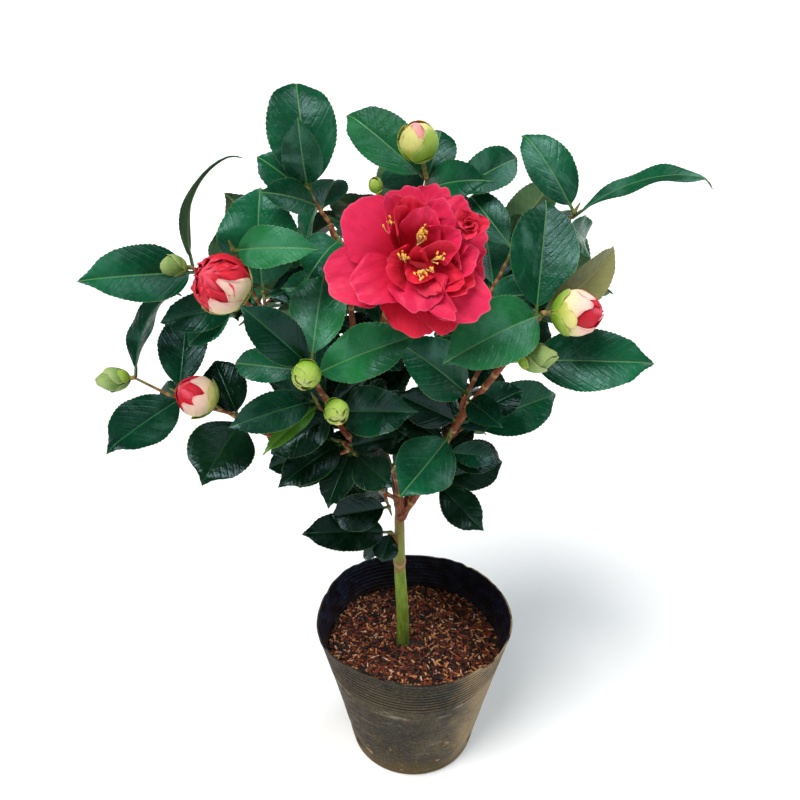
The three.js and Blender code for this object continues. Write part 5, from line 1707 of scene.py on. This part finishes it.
# %% The bed of soil
SOIL_EDGE, SOIL_TOP, SOIL_SHOULDER, SOIL_TURNS = POT_WALL + 0.5, 122.0, 119.0, 180
HOLLOW, HOLLOW_DEEP = np.array([7.0, -7.0]), 7.0


def soil_high(x, y, edge):
    """Height of the soil at places, given how far out the wall is there."""
    out = np.hypot(x, y) / edge
    high = SOIL_TOP - (SOIL_TOP - SOIL_SHOULDER) * smooth(0.55, 1, out)
    spots = stacked(x / 17, y / 17, 0.0)
    bumps = 1.3 * field(spots) + 0.7 * field(spots * 3.3 + 5)
    hollow = HOLLOW_DEEP * np.exp(-((x - HOLLOW[0]) ** 2 + (y - HOLLOW[1]) ** 2) / 40)
    return high + bumps * (1 - 0.6 * smooth(0.9, 1, out)) - hollow


def soil_edge(turn):
    radius = pot_radius(SOIL_SHOULDER)
    return radius + pot_wave(turn, SOIL_SHOULDER, radius)[0] + pot_relief(turn, SOIL_SHOULDER) - SOIL_EDGE


def earth(name, deep, mid, speck, scale):
    brush = Brush(name, IOR=1.4)
    grain = brush.cloud(scale, 4.0, 0.6, 0.5)
    specks = brush.cloud(scale * 2.2).step(0.6, 0.72, 0.0, 0.6)
    tone = brush.coats(deep, (grain.step(0.35, 0.65), mid), (specks, speck))
    return brush.finish_with(tone, grain.step(0.3, 0.7, 0.62, 0.9), grain, 0.0006)


turn = np.arange(SOIL_TURNS) * 2 * math.pi / SOIL_TURNS
edge = soil_edge(turn)
shares = np.linspace(0.012, 1, 64)[:, None]
x, y = shares * edge * np.cos(turn), shares * edge * np.sin(turn)
bed_top = stacked(x, y, soil_high(x, y, edge))
bed_base = ring_places(POT_BASE - POT_WALL - 1, turn, POT_FLOOR + 0.3)
bed_rows = np.concatenate([(bed_base * [0.03, 0.03, 1])[None], bed_base[None], bed_top[::-1]])
looks = np.zeros((len(bed_rows), SOIL_TURNS + 1, 2))
bed = Gather()
bed.tube(bed_rows, looks, looks, 0)
# The bed is very dark: partly the dark soil under the bark, partly painted shade in the gaps between the
# splinters.
bed_finish = earth("soil_bed", (14, 7, 4), (40, 20, 12), (96, 56, 34), 320.0)
add_piece("soil_bed", bed.cast("soil_bed"), [bed_finish], ["soil"])

# %% The splinters
# Each kind: its deep and mid colours and its share of the splinters.
SPLINTERS = {
    "brown": ((44, 18, 9), (102, 47, 25), 0.27), "dark": ((14, 7, 5), (36, 18, 12), 0.3),
    "red": ((80, 28, 14), (138, 60, 29), 0.24), "tan": ((146, 88, 52), (196, 130, 84), 0.13),
    "gold": ((160, 110, 52), (204, 156, 86), 0.02), "pale": ((176, 134, 106), (216, 180, 150), 0.04),
}
STREWN, TRUNK_ROOM = 3800, 8
dice = dice_for("splinters")
turn, share = dice.uniform(0, 2 * math.pi, STREWN), np.sqrt(dice.uniform(0.003, 0.985, STREWN))
edge = soil_edge(turn)
x, y = share * edge * np.cos(turn), share * edge * np.sin(turn)
clear = np.hypot(x + 10, y) > TRUNK_ROOM
share, edge, x, y = (values[clear] for values in (share, edge, x, y))
count = len(x)
foot = np.stack([x, y, soil_high(x, y, edge) + dice.uniform(0.0, 1.6, count)], -1)
length = dice.uniform(3.6, 8.6, count) * (1 + 0.5 * (dice.uniform(0, 1, count) > 0.94))
broad, deep = dice.uniform(0.9, 2.2, count), dice.uniform(0.5, 1.1, count)
aim, tilt, roll = dice.uniform(0, math.pi * 2, count), dice.normal(0, 0.3, count), dice.normal(0, 0.6, count)
near_edge = np.maximum(edge - share * edge - 1.0, 0.6)
length = np.minimum(length, 1.9 * near_edge + 1.6)
along = np.stack([np.cos(aim) * np.cos(tilt), np.sin(aim) * np.cos(tilt), np.sin(tilt)], -1)
flat_side = np.stack([-np.sin(aim), np.cos(aim), np.zeros(count)], -1)
flat_up = np.cross(along, flat_side)
c, s = np.cos(roll)[:, None], np.sin(roll)[:, None]
side, upward = flat_side * c + flat_up * s, flat_up * c - flat_side * s
corners = np.array([(a, b, up) for up in (-1, 1) for a, b in ((-1, -1), (1, -1), (1, 1), (-1, 1))])
taper = 1 - 0.45 * (corners[None, :, 0] > 0) * dice.uniform(0.2, 1, (count, 1))
jag = dice.uniform(0.75, 1.2, (count, 8))
boxes = foot[:, None] + along[:, None] * (corners[None, :, 0] * length[:, None] / 2 * jag)[:, :, None]
boxes = boxes + side[:, None] * (corners[None, :, 1] * broad[:, None] / 2 * taper)[:, :, None]
boxes = boxes + upward[:, None] * (corners[None, :, 2] * deep[:, None] / 2)[:, :, None]
kinds = dice.choice(len(SPLINTERS), count, p=[kind[2] for kind in SPLINTERS.values()])
chips = Gather()
chips.chips(boxes, kinds)
finishes = [earth("splinter_" + name, dark, mid, mid, 420.0) for name, (dark, mid, _) in SPLINTERS.items()]
add_piece("bark_splinters", chips.cast("bark_splinters"), finishes, ["soil"])
